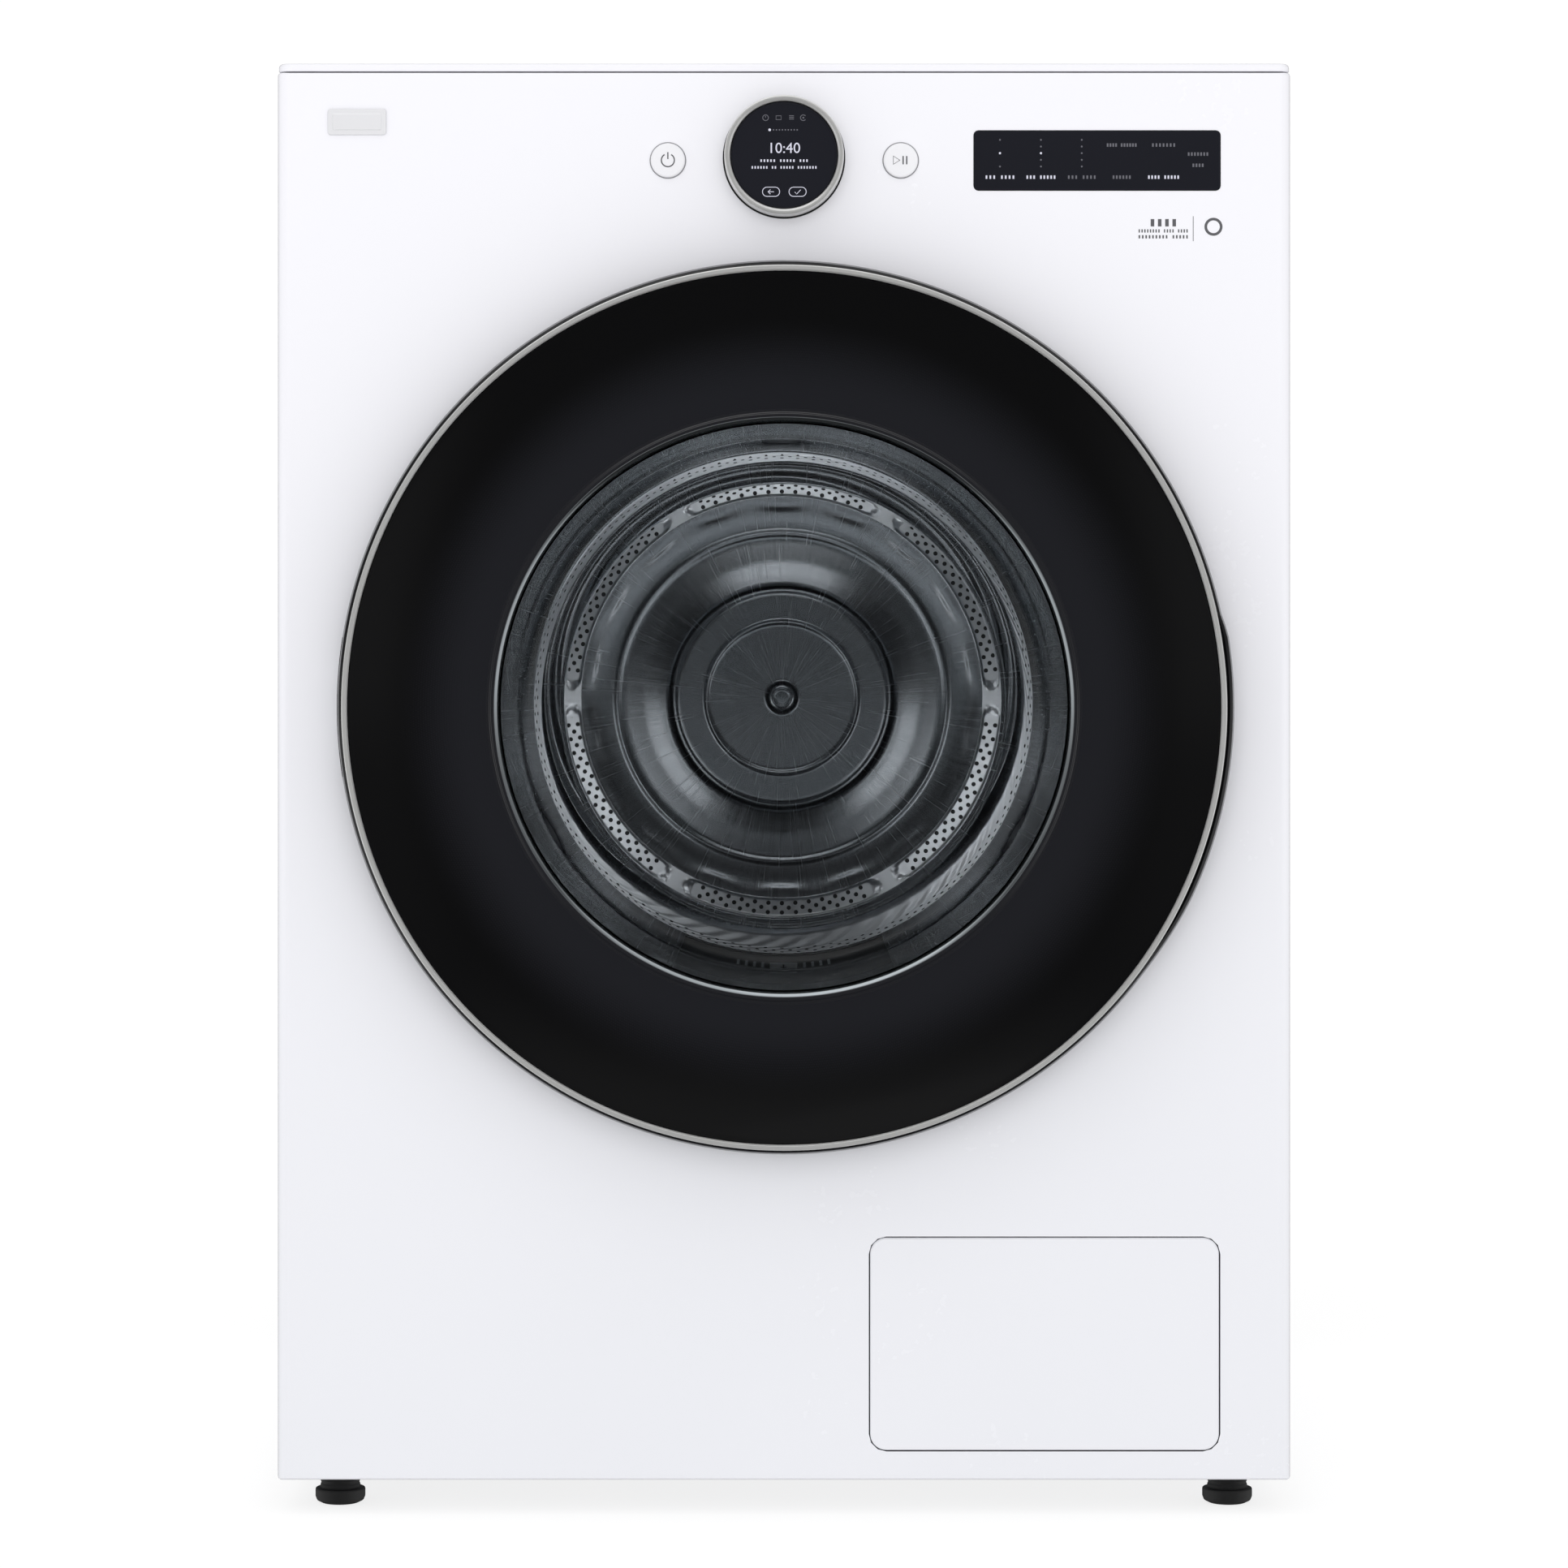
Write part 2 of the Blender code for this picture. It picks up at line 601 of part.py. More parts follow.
def door_catch():
    """Hook on the door, the latch block behind the front, and the rubber seal of the opening."""
    box(
        "door_striker", (0.2580, DOOR_BACK_Y + 0.0003, AXIS_Z - 0.006), (0.2660, -0.3240, AXIS_Z + 0.006),
        ZINC_SHEET, origin=(HINGE_X, HINGE_Y, AXIS_Z),
    )
    low, high = AXIS_Z - 0.028, AXIS_Z + 0.028
    latch = box("door_latch", (0.244, PANEL_BACK + 0.0004, low), (0.280, -0.305, high), GREY_PLASTIC)
    low, high = AXIS_Z - 0.010, AXIS_Z + 0.010
    cut(latch, box("pocket_cutter", (0.2535, -0.345, low), (0.2705, -0.318, high), GREY_PLASTIC))
    lip, neck = 0.218, PANEL_OPENING - 0.0010
    seal = [
        (lip, -0.3435), (0.229, -0.3435), (0.229, FRONT_Y - 0.0003), (neck, FRONT_Y - 0.0003),
        (neck, PANEL_BACK + 0.0003), (0.227, PANEL_BACK + 0.0003), (0.227, -0.3375), (lip, -0.3375),
    ]
    turned("door_gasket", seal, DOOR_AXIS, RUBBER, DOOR_STEPS)


# Hatch


def access_hatch():
    plate(
        "hatch", HATCH_WIDTH - 2 * HATCH_GAP, HATCH_HEIGHT - 2 * HATCH_GAP, HATCH_CORNER - HATCH_GAP,
        (HATCH_X, HATCH_Z), FRONT_Y - 0.0003, FRONT_Y + 0.0037, WHITE_PLASTIC, edge=0.0015,
        origin=(*HATCH_PIVOT, HATCH_Z),
    )
    low, high = PANEL_BACK + 0.0003, -0.330

    def loop(grow, depth, radius):
        outline = rounded_outline(
            HATCH_WIDTH / 2 + grow, HATCH_HEIGHT / 2 + grow, radius, (HATCH_X, HATCH_Z)
        )
        return [(x, depth, z) for x, z in outline]

    inner, outer, radius = 0.0004, 0.0115, HATCH_CORNER
    loops = [loop(inner, low, radius), loop(outer, low, radius + outer)]
    loops += [loop(outer, high, radius + outer), loop(inner, high, radius)]
    skin_ring("hatch_frame", loops, WHITE_PLASTIC)


def skin_ring(name, loops, look):
    """Closed ring over a round of loops, the last joined back to the first."""
    count = len(loops[0])
    points = [point for loop in loops for point in loop]
    faces = []
    for row in range(len(loops)):
        low = row * count
        high = (row + 1) % len(loops) * count
        for step in range(count):
            after = (step + 1) % count
            faces.append([low + step, low + after, high + after, high + step])
    return new_object(name, points, faces, look)


# Drum


def drum():
    origin = (0.0, 0.0, AXIS_Z)
    shell = [
        (DRUM_RADIUS, DRUM_BACK_Y), (DRUM_RADIUS, -0.2760), (0.3150, -0.2850), (0.3080, -0.2888),
        (0.2260, DRUM_FRONT_Y), (0.2260, DRUM_FRONT_Y + 0.0010), (0.3077, -0.2878), (0.3142, -0.2842),
        (DRUM_RADIUS - 0.0010, -0.2757), (DRUM_RADIUS - 0.0010, DRUM_BACK_Y),
    ]
    turned("drum_shell", shell, DOOR_AXIS, STAINLESS, DRUM_STEPS, origin=origin)
    front = [
        (0, 0.2790), (0.0105, 0.2795), (0.0120, 0.2820), (0.0122, 0.2850), (0.087, 0.2850), (0.092, 0.2900),
        (0.150, 0.2940), (0.160, 0.2880), (0.220, 0.2880), (DRUM_RADIUS - 0.0022, 0.2940),
    ]
    back = [(radius, depth + 0.0010) for radius, depth in front[:3:-1]]
    turned("drum_back", front + back + [(0, 0.2860)], DOOR_AXIS, STAINLESS, DRUM_STEPS, origin=origin)
    shaft = [
        (0, 0.2870), (0.045, 0.2870), (0.045, 0.2920),
        (SHAFT_RADIUS, 0.2925), (SHAFT_RADIUS, 0.345), (0, 0.345),
    ]
    turned("drum_shaft", shaft, DOOR_AXIS, STEEL, 24, origin=origin)
    for number, angle in enumerate(LIFTER_ANGLES, start=1):
        lifter(f"drum_lifter_{number}", math.radians(angle))


def lifter(name, angle):
    """Paddle on the shell: a rounded wedge that falls away towards both ends."""
    foot = 0.3130
    stations = ((-0.245, 0.35), (-0.205, 1.0), (0.215, 1.0), (0.255, 0.35))
    outline = ((-0.032, 0.0), (-0.024, 0.016), (-0.010, 0.050), (0.010, 0.050), (0.024, 0.016), (0.032, 0.0))
    radial = (math.cos(angle), math.sin(angle))
    loops = []
    for along, share in stations:
        loop = []
        for across, rise in outline:
            reach = foot - rise * share
            x = radial[0] * reach - radial[1] * across * (0.6 + 0.4 * share)
            z = AXIS_Z + radial[1] * reach + radial[0] * across * (0.6 + 0.4 * share)
            loop.append((x, along, z))
        loops.append(loop)
    loft(name, loops, WHITE_PLASTIC, origin=(0.0, 0.0, AXIS_Z))


def drum_supports():
    seal = [(0.224, BULKHEAD_Y + 0.0024), (0.240, BULKHEAD_Y + 0.0024), (0.240, -0.2900), (0.224, -0.2900)]
    turned("drum_front_seal", seal, DOOR_AXIS, FELT, DOOR_STEPS)
    low, high = REAR_WALL_Y + 0.0018, 0.338
    bearing = [
        (SHAFT_RADIUS + 0.0008, low), (0.050, low), (0.050, low + 0.003), (0.030, low + 0.003),
        (0.030, high), (SHAFT_RADIUS + 0.0008, high),
    ]
    turned("rear_bearing", bearing, DOOR_AXIS, STEEL, 24)
    wheel = [(0.0066, -0.262), (ROLLER_RADIUS, -0.262), (ROLLER_RADIUS, -0.242), (0.0066, -0.242)]
    for name, side in (("left_roller", -1), ("right_roller", 1)):
        place = (side * ROLLER_X, ROLLER_Z)
        turned(name, wheel, place, RUBBER, 24, origin=(place[0], -0.252, place[1]))


def lint_filter():
    """Filter that hangs in the bottom of the drum opening, with an upstand behind the glass."""
    profile = [
        (0.2000, -0.3080), (0.2130, -0.3080), (0.2130, -0.2150),
        (0.1770, -0.2150), (0.1770, -0.2250), (0.2000, -0.2340),
    ]
    turned("lint_filter", profile, DOOR_AXIS, GREY_PLASTIC, 8, arc=(247.0, 293.0))


# Drive


def drive():
    x, z = MOTOR_AXIS
    bore = MOTOR_SHAFT_RADIUS + 0.0006
    body = [(bore, 0.085), (0.036, 0.085), (0.050, 0.100), (0.050, 0.170), (0.036, 0.185), (bore, 0.185)]
    motor = turned("drive_motor", body, MOTOR_AXIS, STEEL, 24)
    for name, place in (("front", 0.105), ("back", 0.153)):
        near, far = (x - 0.035, place, 0.0308), (x + 0.035, place + 0.012, 0.092)
        add(motor, box(f"motor_{name}_foot_helper", near, far, STEEL))
    origin = (x, 0.1, z)
    rim = PULLEY_RADIUS + 0.0009
    pulley = [
        (bore, 0.058), (rim, 0.058), (rim, 0.0596), (PULLEY_RADIUS, 0.0600), (PULLEY_RADIUS, 0.0720),
        (rim, 0.0724), (rim, 0.0740), (bore, 0.0740),
    ]
    turned("motor_pulley", pulley, MOTOR_AXIS, STEEL, 16, origin=origin)
    wheel = fan_wheel(origin)
    shaft = [(0, 0.052), (MOTOR_SHAFT_RADIUS, 0.052), (MOTOR_SHAFT_RADIUS, 0.2300), (0, 0.2300)]
    add(wheel, turned("motor_shaft_helper", shaft, MOTOR_AXIS, STEEL, 16))
    housing = [
        (0.040, 0.1990), (0.0710, 0.1990), (0.0710, 0.2640), (0.0100, 0.2640),
        (0.0100, 0.2615), (0.0685, 0.2615), (0.0685, 0.2015), (0.040, 0.2015),
    ]
    turned("blower_housing", housing, MOTOR_AXIS, GREY_PLASTIC, 24)
    idler = [(0.0046, 0.0600), (IDLER_RADIUS, 0.0600), (IDLER_RADIUS, 0.0720), (0.0046, 0.0720)]
    origin = (IDLER_AXIS[0], 0.066, IDLER_AXIS[1])
    turned("idler_pulley", idler, IDLER_AXIS, BLACK_PLASTIC, 16, origin=origin)
    bracket = box("idler_bracket", (0.006, 0.0745, 0.0308), (0.034, 0.0775, 0.178), ZINC_SHEET)
    pin = [(0, 0.0590), (0.0040, 0.0590), (0.0040, 0.0760), (0, 0.0760)]
    add(bracket, turned("idler_pin_helper", pin, IDLER_AXIS, ZINC_SHEET, 12))


def fan_wheel(origin):
    """Radial fan on its hub: the rim steps in and out between the blades."""
    blades = 18
    low, high = 0.2100, 0.2520
    loops = []
    for depth in (low, high):
        loop = []
        for step in range(2 * blades):
            reach = 0.046 if step % 2 else 0.062
            for shift in (0.0, 0.35):
                angle = math.pi * (step + shift) / blades
                loop.append(
                    (MOTOR_AXIS[0] + reach * math.cos(angle), depth, MOTOR_AXIS[1] + reach * math.sin(angle))
                )
        loops.append(loop)
    return loft("blower_wheel", loops, BLACK_PLASTIC, origin=origin)


def drum_belt():
    """Flat belt round the drum, the motor pulley and the idler: the hull of three circles."""
    circles = ((DOOR_AXIS, DRUM_RADIUS, 60), (MOTOR_AXIS, PULLEY_RADIUS, 16), (IDLER_AXIS, IDLER_RADIUS, 16))
    spots = []
    for centre, radius, steps in circles:
        for step in range(steps):
            angle = 2 * math.pi * step / steps
            reach = radius + 0.0012
            x, z = centre[0] + reach * math.cos(angle), centre[1] + reach * math.sin(angle)
            spots.append((x, z, centre, radius, angle))
    hull = convex_outline(spots)
    loops = []
    for depth, lift in (
        (BELT_LOW_Y, 0.0008), (BELT_LOW_Y, 0.0008 + BELT_THICKNESS),
        (BELT_HIGH_Y, 0.0008 + BELT_THICKNESS), (BELT_HIGH_Y, 0.0008),
    ):
        loop = []
        for _, _, centre, radius, angle in hull:
            reach = radius + lift
            loop.append((centre[0] + reach * math.cos(angle), depth, centre[1] + reach * math.sin(angle)))
        loops.append(loop)
    skin_ring("drum_belt", loops, RUBBER)


def convex_outline(spots):
    """The spots on the convex outline, in order round it."""
    ordered = sorted(spots, key=lambda spot: (spot[0], spot[1]))

    def chain(sequence):
        line = []
        for spot in sequence:
            while len(line) > 1 and turn(line[-2], line[-1], spot) <= 0:
                line.pop()
            line.append(spot)
        return line[:-1]

    return chain(ordered) + chain(ordered[::-1])


def turn(first, second, third):
    return (second[0] - first[0]) * (third[1] - first[1]) - (second[1] - first[1]) * (third[0] - first[0])


# Heat pump


def finned_block(name, low_y, high_y):
    """Heat exchanger: upright fins standing on a solid foot."""
    low_x, high_x, low_z, root_z, high_z = 0.0640, 0.2820, 0.0350, 0.0450, 0.1900
    fins = 14
    pitch = (high_x - low_x) / (fins - 0.5)
    outline = [(low_x, low_z)]
    for fin in range(fins):
        left = low_x + fin * pitch
        if fin:
            outline.append((left, root_z))
        outline += [(left, high_z), (left + pitch / 2, high_z)]
        if fin < fins - 1:
            outline.append((left + pitch / 2, root_z))
    outline.append((high_x, low_z))
    loops = [[(x, depth, z) for x, z in outline] for depth in (low_y, high_y)]
    loft(name, loops, ALUMINIUM)


def heat_pump():
    low, high = (0.058, -0.296, 0.0310), (0.288, 0.050, 0.198)
    wall = 0.003
    loops = []
    for inset, depth in ((0.0, low[1]), (0.0, high[1]), (wall, high[1]), (wall, low[1])):
        loops.append([
            (low[0] + inset, depth, low[2] + inset), (high[0] - inset, depth, low[2] + inset),
            (high[0] - inset, depth, high[2] - inset), (low[0] + inset, depth, high[2] - inset),
        ])
    skin_ring("air_duct", loops, GREY_PLASTIC)
    finned_block("evaporator", -0.250, -0.170)
    finned_block("condenser", -0.150, -0.020)
    screen = plate("duct_filter", 0.221, 0.158, 0.004, (0.173, 0.1146), -0.290, -0.272, GREY_PLASTIC)
    cut(screen, box("filter_recess_cutter", (0.075, -0.30, 0.048), (0.271, -0.280, 0.181), GREY_PLASTIC))
    place = (-0.170, 0.120)
    can = [
        (0, 0.0308), (0.062, 0.0308), (0.062, 0.0350), (0.050, 0.0450), (0.052, 0.0600), (0.052, 0.1750),
        (0.040, 0.1950), (0, 0.2020),
    ]
    turned("compressor", can, place, BLACK_PLASTIC, 22, axis="Z")
    pump = [(0, 0.0308), (0.028, 0.0308), (0.028, 0.0700), (0.018, 0.0730), (0.018, 0.0950), (0, 0.0970)]
    turned("drain_pump", pump, (-0.240, -0.200), WHITE_PLASTIC, 16, axis="Z")
    route = [
        (-0.1165, 0.120, 0.150), (-0.060, 0.112, 0.145), (-0.020, 0.080, 0.110),
        (0.015, 0.010, 0.100), (0.040, 0.0, 0.100), (0.0572, 0.0, 0.100),
    ]
    tube("refrigerant_pipe", route, 0.004, COPPER)


def main():
    clear_scene()
    front_panel()
    side_panel("left_side_panel", -1)
    side_panel("right_side_panel", 1)
    top_cover()
    rear_panel()
    base_pan()
    levelling_feet()
    front_bulkhead()
    rear_bulkhead()
    rear_fittings()
    dial()
    push_button("power_button", POWER_X)
    push_button("start_button", START_X)
    control_block()
    door_shell()
    door_dish()
    door_bowl()
    door_hinge()
    door_catch()
    access_hatch()
    drum()
    drum_supports()
    lint_filter()
    drive()
    drum_belt()
    heat_pump()


main()
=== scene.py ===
"""Clothes dryer: fine surfaces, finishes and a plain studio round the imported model.

Metres, +Z up, front towards -Y. Every piece rides on a body of the frame.
"""

import json
import math

import bmesh
import bpy
import mathutils
import numpy as np
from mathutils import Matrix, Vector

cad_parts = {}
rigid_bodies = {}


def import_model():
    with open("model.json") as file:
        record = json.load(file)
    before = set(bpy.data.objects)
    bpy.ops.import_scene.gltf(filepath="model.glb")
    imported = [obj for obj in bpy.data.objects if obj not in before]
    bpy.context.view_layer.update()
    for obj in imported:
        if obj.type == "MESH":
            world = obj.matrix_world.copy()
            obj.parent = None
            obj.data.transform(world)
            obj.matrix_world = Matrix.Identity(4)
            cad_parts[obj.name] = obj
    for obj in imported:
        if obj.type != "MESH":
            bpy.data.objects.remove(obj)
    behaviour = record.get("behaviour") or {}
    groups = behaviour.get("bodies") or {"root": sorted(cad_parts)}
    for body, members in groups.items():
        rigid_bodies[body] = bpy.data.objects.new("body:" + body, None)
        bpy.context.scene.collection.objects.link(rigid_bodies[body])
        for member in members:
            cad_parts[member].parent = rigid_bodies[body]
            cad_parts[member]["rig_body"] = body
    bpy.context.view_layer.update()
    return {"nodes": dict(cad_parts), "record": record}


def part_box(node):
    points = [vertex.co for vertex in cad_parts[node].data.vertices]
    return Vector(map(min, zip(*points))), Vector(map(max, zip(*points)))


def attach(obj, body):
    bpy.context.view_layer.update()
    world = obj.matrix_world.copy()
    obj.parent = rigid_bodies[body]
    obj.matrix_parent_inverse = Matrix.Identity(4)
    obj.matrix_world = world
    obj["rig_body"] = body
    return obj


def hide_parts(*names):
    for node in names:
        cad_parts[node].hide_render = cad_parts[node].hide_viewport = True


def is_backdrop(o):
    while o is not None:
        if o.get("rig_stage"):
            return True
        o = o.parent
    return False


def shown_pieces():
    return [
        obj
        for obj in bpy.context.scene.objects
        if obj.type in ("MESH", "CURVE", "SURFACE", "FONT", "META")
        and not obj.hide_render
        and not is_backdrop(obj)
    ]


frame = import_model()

bl_info = {
    "name": "Clothes Dryer",
    "version": (1, 0, 0),
    "blender": (4, 5, 0),
    "location": "View3D > Sidebar > Dryer",
    "description": "Builds a front-loading clothes dryer's fine surfaces, finishes and studio",
    "category": "Add Mesh",
}


def middle(node):
    """Centre of a node's box, as an array."""
    return (low(node) + high(node)) / 2


def low(node):
    """Lowest corner of a node's box."""
    return np.array(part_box(node)[0])


def high(node):
    """Highest corner of a node's box."""
    return np.array(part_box(node)[1])


# Places read from the frame
AXIS = np.array([middle("door_trim_ring")[0], middle("door_trim_ring")[2]])
DIAL = np.array([middle("dial_ring")[0], middle("dial_ring")[2]])
FRONT = low("front_panel")[1]
REAR = high("rear_panel")[1]
DISH_RADIUS = float(high("door_dish")[2] - AXIS[1])
DRUM_RADIUS = float(high("drum_shell")[2] - AXIS[1])
DOOR_FRONT = low("door_trim_ring")[1]
WINDOW_RADIUS = 0.1955


# Surfaces: each is (points, faces), worked out as whole arrays


def grid_quads(rows, columns, close_rows=False, close_columns=True):
    """Quads between neighbouring points of a grid stored row by row, wrapping where asked."""
    row = np.arange(rows if close_rows else rows - 1)[:, None]
    column = np.arange(columns if close_columns else columns - 1)[None, :]
    after, beside = (row + 1) % rows, (column + 1) % columns
    corners = (
        row * columns + column, row * columns + beside, after * columns + beside, after * columns + column
    )
    return np.stack(corners, axis=-1).reshape(-1, 4)


def fillet(profile, radius, steps=4, closed=False):
    """Rounds a profile's corners: P becomes the quadratic curve from P + (A-P)t to P + (B-P)t."""
    profile = np.asarray(profile, float)
    before, after = np.roll(profile, 1, axis=0), np.roll(profile, -1, axis=0)
    inner = profile if closed else profile[1:-1]
    before, after = (before, after) if closed else (before[1:-1], after[1:-1])
    to_before, to_after = before - inner, after - inner
    reach_before = np.minimum(
        radius / np.maximum(np.linalg.norm(to_before, axis=1, keepdims=True), 1e-9), 0.48
    )
    reach_after = np.minimum(radius / np.maximum(np.linalg.norm(to_after, axis=1, keepdims=True), 1e-9), 0.48)
    share = np.linspace(0, 1, steps + 1)[:, None, None]
    start, end = inner + to_before * reach_before, inner + to_after * reach_after
    curve = (1 - share) ** 2 * start + 2 * share * (1 - share) * inner + share**2 * end
    curve = curve.transpose(1, 0, 2).reshape(-1, 2)
    return curve if closed else np.concatenate([profile[:1], curve, profile[-1:]])


def round_steps(count=240):
    return np.linspace(0, 2 * math.pi, count, endpoint=False)


def turned(profile, centre=AXIS, angles=None, closed=False, adjust=None):
    """Profile of (radius, y) swept about a line along Y: x = cx + r cos a, z = cz + r sin a."""
    profile = np.asarray(profile, float)
    angles = round_steps() if angles is None else angles
    radius, angle = np.meshgrid(profile[:, 0], angles, indexing="ij")
    depth = np.repeat(profile[:, 1, None], len(angles), axis=1)
    if adjust:
        radius, depth = adjust(radius, depth, angle)
    points = np.stack(
        (centre[0] + radius * np.cos(angle), depth, centre[1] + radius * np.sin(angle)), axis=-1
    )
    return points.reshape(-1, 3), grid_quads(len(profile), len(angles), closed)


def upright(profile, centre, count=64):
    """Profile of (radius, z) swept about an upright line: x = cx + r cos a, y = cy + r sin a."""
    points, faces = turned(profile, centre, round_steps(count))
    return points[:, [0, 2, 1]], faces


def rounded_outline(width, height, corner, steps=6):
    """Rectangle with quarter circles at its corners: corner centre + corner (cos a, sin a)."""
    corner = max(corner, 1e-5)
    angle = (np.arange(4)[:, None] * math.pi / 2 + np.linspace(0, math.pi / 2, steps + 1)).reshape(-1)
    side = np.repeat(np.array([[1, 1], [-1, 1], [-1, -1], [1, -1]]), steps + 1, axis=0)
    half = np.array([width / 2 - corner, height / 2 - corner])
    return side * half + corner * np.stack((np.cos(angle), np.sin(angle)), axis=-1)


def plate(centre, size, corner, loops, facing="y", steps=6):
    """Rounded rectangles stacked by (inset, level); the first and the last close to their own middle."""
    levels = [loops[0][1], *[level for _, level in loops], loops[-1][1]]
    insets = [0.0, *[inset for inset, _ in loops], 0.0]
    scale = np.ones(len(levels))
    scale[[0, -1]] = 0.0
    rows = [
        share * rounded_outline(size[0] - 2 * inset, size[1] - 2 * inset, corner - inset, steps)
        for share, inset in zip(scale, insets)
    ]
    flat = np.stack(rows) + np.asarray(centre)
    level = np.broadcast_to(np.asarray(levels)[:, None, None], (*flat.shape[:2], 1))
    points = np.concatenate([flat, level], axis=-1).reshape(-1, 3)
    order = {"y": [0, 2, 1], "z": [0, 1, 2], "x": [2, 0, 1]}[facing]
    return points[:, order], grid_quads(len(levels), flat.shape[1])


def soft_plate(centre, size, corner, back, front, edge, facing="y", steps=6):
    """Plate whose front edge is a quarter circle: inset e(1 - cos t), level front -+ e(1 - sin t)."""
    way = np.sign(front - back)
    turn = np.linspace(0, math.pi / 2, 5)
    rounds = [(edge * (1 - math.cos(t)), front - way * edge * (1 - math.sin(t))) for t in turn]
    return plate(centre, size, corner, [(0.0, back), *rounds], facing, steps)


def pressing(centre, size, corner, base, height, slope, facing="y"):
    """Raised field on a sheet: it climbs by 3s^2 - 2s^3 across the slope, s from 0 to 1, then stays flat."""
    share = np.linspace(0, 1, 9)
    loops = list(zip(share * slope, base + height * (3 * share**2 - 2 * share**3)))
    return plate(centre, size, corner, loops, facing, steps=8)


def ribbon(path, width, back, front, closed=False):
    """Flat stroke: a rectangle of the width and thickness carried along a path in the upright plane."""
    path = np.asarray(path, float)
    if closed:
        tangent = np.roll(path, -1, axis=0) - np.roll(path, 1, axis=0)
    else:
        tangent = np.gradient(path, axis=0)
    tangent /= np.linalg.norm(tangent, axis=1, keepdims=True)
    side = np.stack((-tangent[:, 1], tangent[:, 0]), axis=-1) * width / 2
    left, right = path + side, path - side

    def row(flat, level):
        return np.insert(flat, 1, level, axis=1)

    section = np.stack((row(left, back), row(right, back), row(right, front), row(left, front)), axis=1)
    if not closed:
        middles = np.repeat(section.mean(axis=1)[[0, -1]][:, None], 4, axis=1)
        section = np.concatenate([middles[:1], section, middles[1:]])
    return section.reshape(-1, 3), grid_quads(len(section), 4, close_rows=closed)


def arc(centre, radius, start, end, count=24):
    angle = np.radians(np.linspace(start, end, count))
    return np.asarray(centre) + radius * np.stack((np.cos(angle), np.sin(angle)), axis=-1)


def disc(centre, radius, back, front, count=24):
    return turned([(0, back), (radius, back), (radius, front), (0, front)], centre, round_steps(count))


def cuboid(lowest, highest):
    """Box between two corners."""
    pick = np.array([[0, 0, 0], [1, 0, 0], [1, 1, 0], [0, 1, 0], [0, 0, 1], [1, 0, 1], [1, 1, 1], [0, 1, 1]])
    points = np.where(pick, np.asarray(highest, float), np.asarray(lowest, float))
    faces = [[0, 3, 2, 1], [4, 5, 6, 7], [0, 1, 5, 4], [1, 2, 6, 5], [2, 3, 7, 6], [3, 0, 4, 7]]
    return points, np.array(faces)


def repeated(shape, places):
    """The same shape at each place: points + place, faces + count x index."""
    points, faces = shape
    places = np.asarray(places, float)
    count = len(points)
    many = (points[None] + places[:, None]).reshape(-1, 3)
    index = np.arange(len(places))[:, None, None] * count
    return many, (faces[None] + index).reshape(-1, faces.shape[1])


def lettering(text, size, place, align="CENTER", thick=0.0001):
    """A numeral or word as flat raised shapes that face -Y, its middle at (x, z) and its back at y."""
    curve = bpy.data.curves.new("lettering", "FONT")
    curve.body, curve.size, curve.extrude = text, size, thick / 2
    curve.align_x, curve.align_y = align, "CENTER"
    curve.resolution_u = 4
    holder = bpy.data.objects.new("lettering", curve)
    bpy.context.scene.collection.objects.link(holder)
    graph = bpy.context.evaluated_depsgraph_get()
    mesh = holder.evaluated_get(graph).to_mesh()
    points = np.empty(len(mesh.vertices) * 3)
    mesh.vertices.foreach_get("co", points)
    faces = [list(face.vertices) for face in mesh.polygons]
    bpy.data.objects.remove(holder)
    bpy.data.curves.remove(curve)
    points = points.reshape(-1, 3)[:, [0, 2, 1]] * [1, -1, 1]
    return points + np.array([place[0], place[1] - thick / 2, place[2]]), faces


def block_words(counts, place, pitch, size, back, front):
    """Small upright blocks that stand for words: each count is one word, with one blank step between."""
    steps, start = [], 0
    for count in counts:
        steps += [start + step for step in range(count)]
        start += count + 1
    across = (np.array(steps) - (start - 2) / 2) * pitch
    places = np.stack((place[0] + across, 0 * across, place[1] + 0 * across), axis=-1)
    half = np.asarray(size) / 2
    return repeated(cuboid((-half[0], front, -half[1]), (half[0], back, half[1])), places)


def make_piece(name, shapes, material, body, replaces=(), angle=35.0):
    """One object from several shapes: doubles merged, faces turned outwards, soft shading below the angle."""
    points, faces, count = [], [], 0
    for shape_points, shape_faces in shapes:
        points.append(shape_points)
        listed = shape_faces.tolist() if isinstance(shape_faces, np.ndarray) else shape_faces
        faces += [[index + count for index in face] for face in listed]
        count += len(shape_points)
    mesh = bpy.data.meshes.new(name)
    mesh.from_pydata(np.concatenate(points).tolist(), [], faces)
    if not mesh.polygons:
        raise RuntimeError(f"{name} has no faces")
    return even_shading(finish_piece(name, mesh, material, body, replaces, angle))


def finish_piece(name, mesh, material, body, replaces=(), angle=35.0, keep_faces=False):
    """Merges doubles, sets the shading, and puts the mesh on its body, over the nodes it replaces."""
    made = bmesh.new()
    made.from_mesh(mesh)
    bmesh.ops.remove_doubles(made, verts=made.verts, dist=2e-6)
    bmesh.ops.dissolve_degenerate(made, dist=1e-6, edges=made.edges)
    if not keep_faces:
        bmesh.ops.recalc_face_normals(made, faces=made.faces)
    made.to_mesh(mesh)
    made.free()
    mesh.shade_smooth()
    mesh.set_sharp_from_angle(angle=math.radians(angle))
    mesh.materials.clear()
    mesh.materials.append(material)
    piece = bpy.data.objects.new(name, mesh)
    bpy.context.scene.collection.objects.link(piece)
    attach(piece, body)
    if replaces:
        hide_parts(*replaces)
    return piece


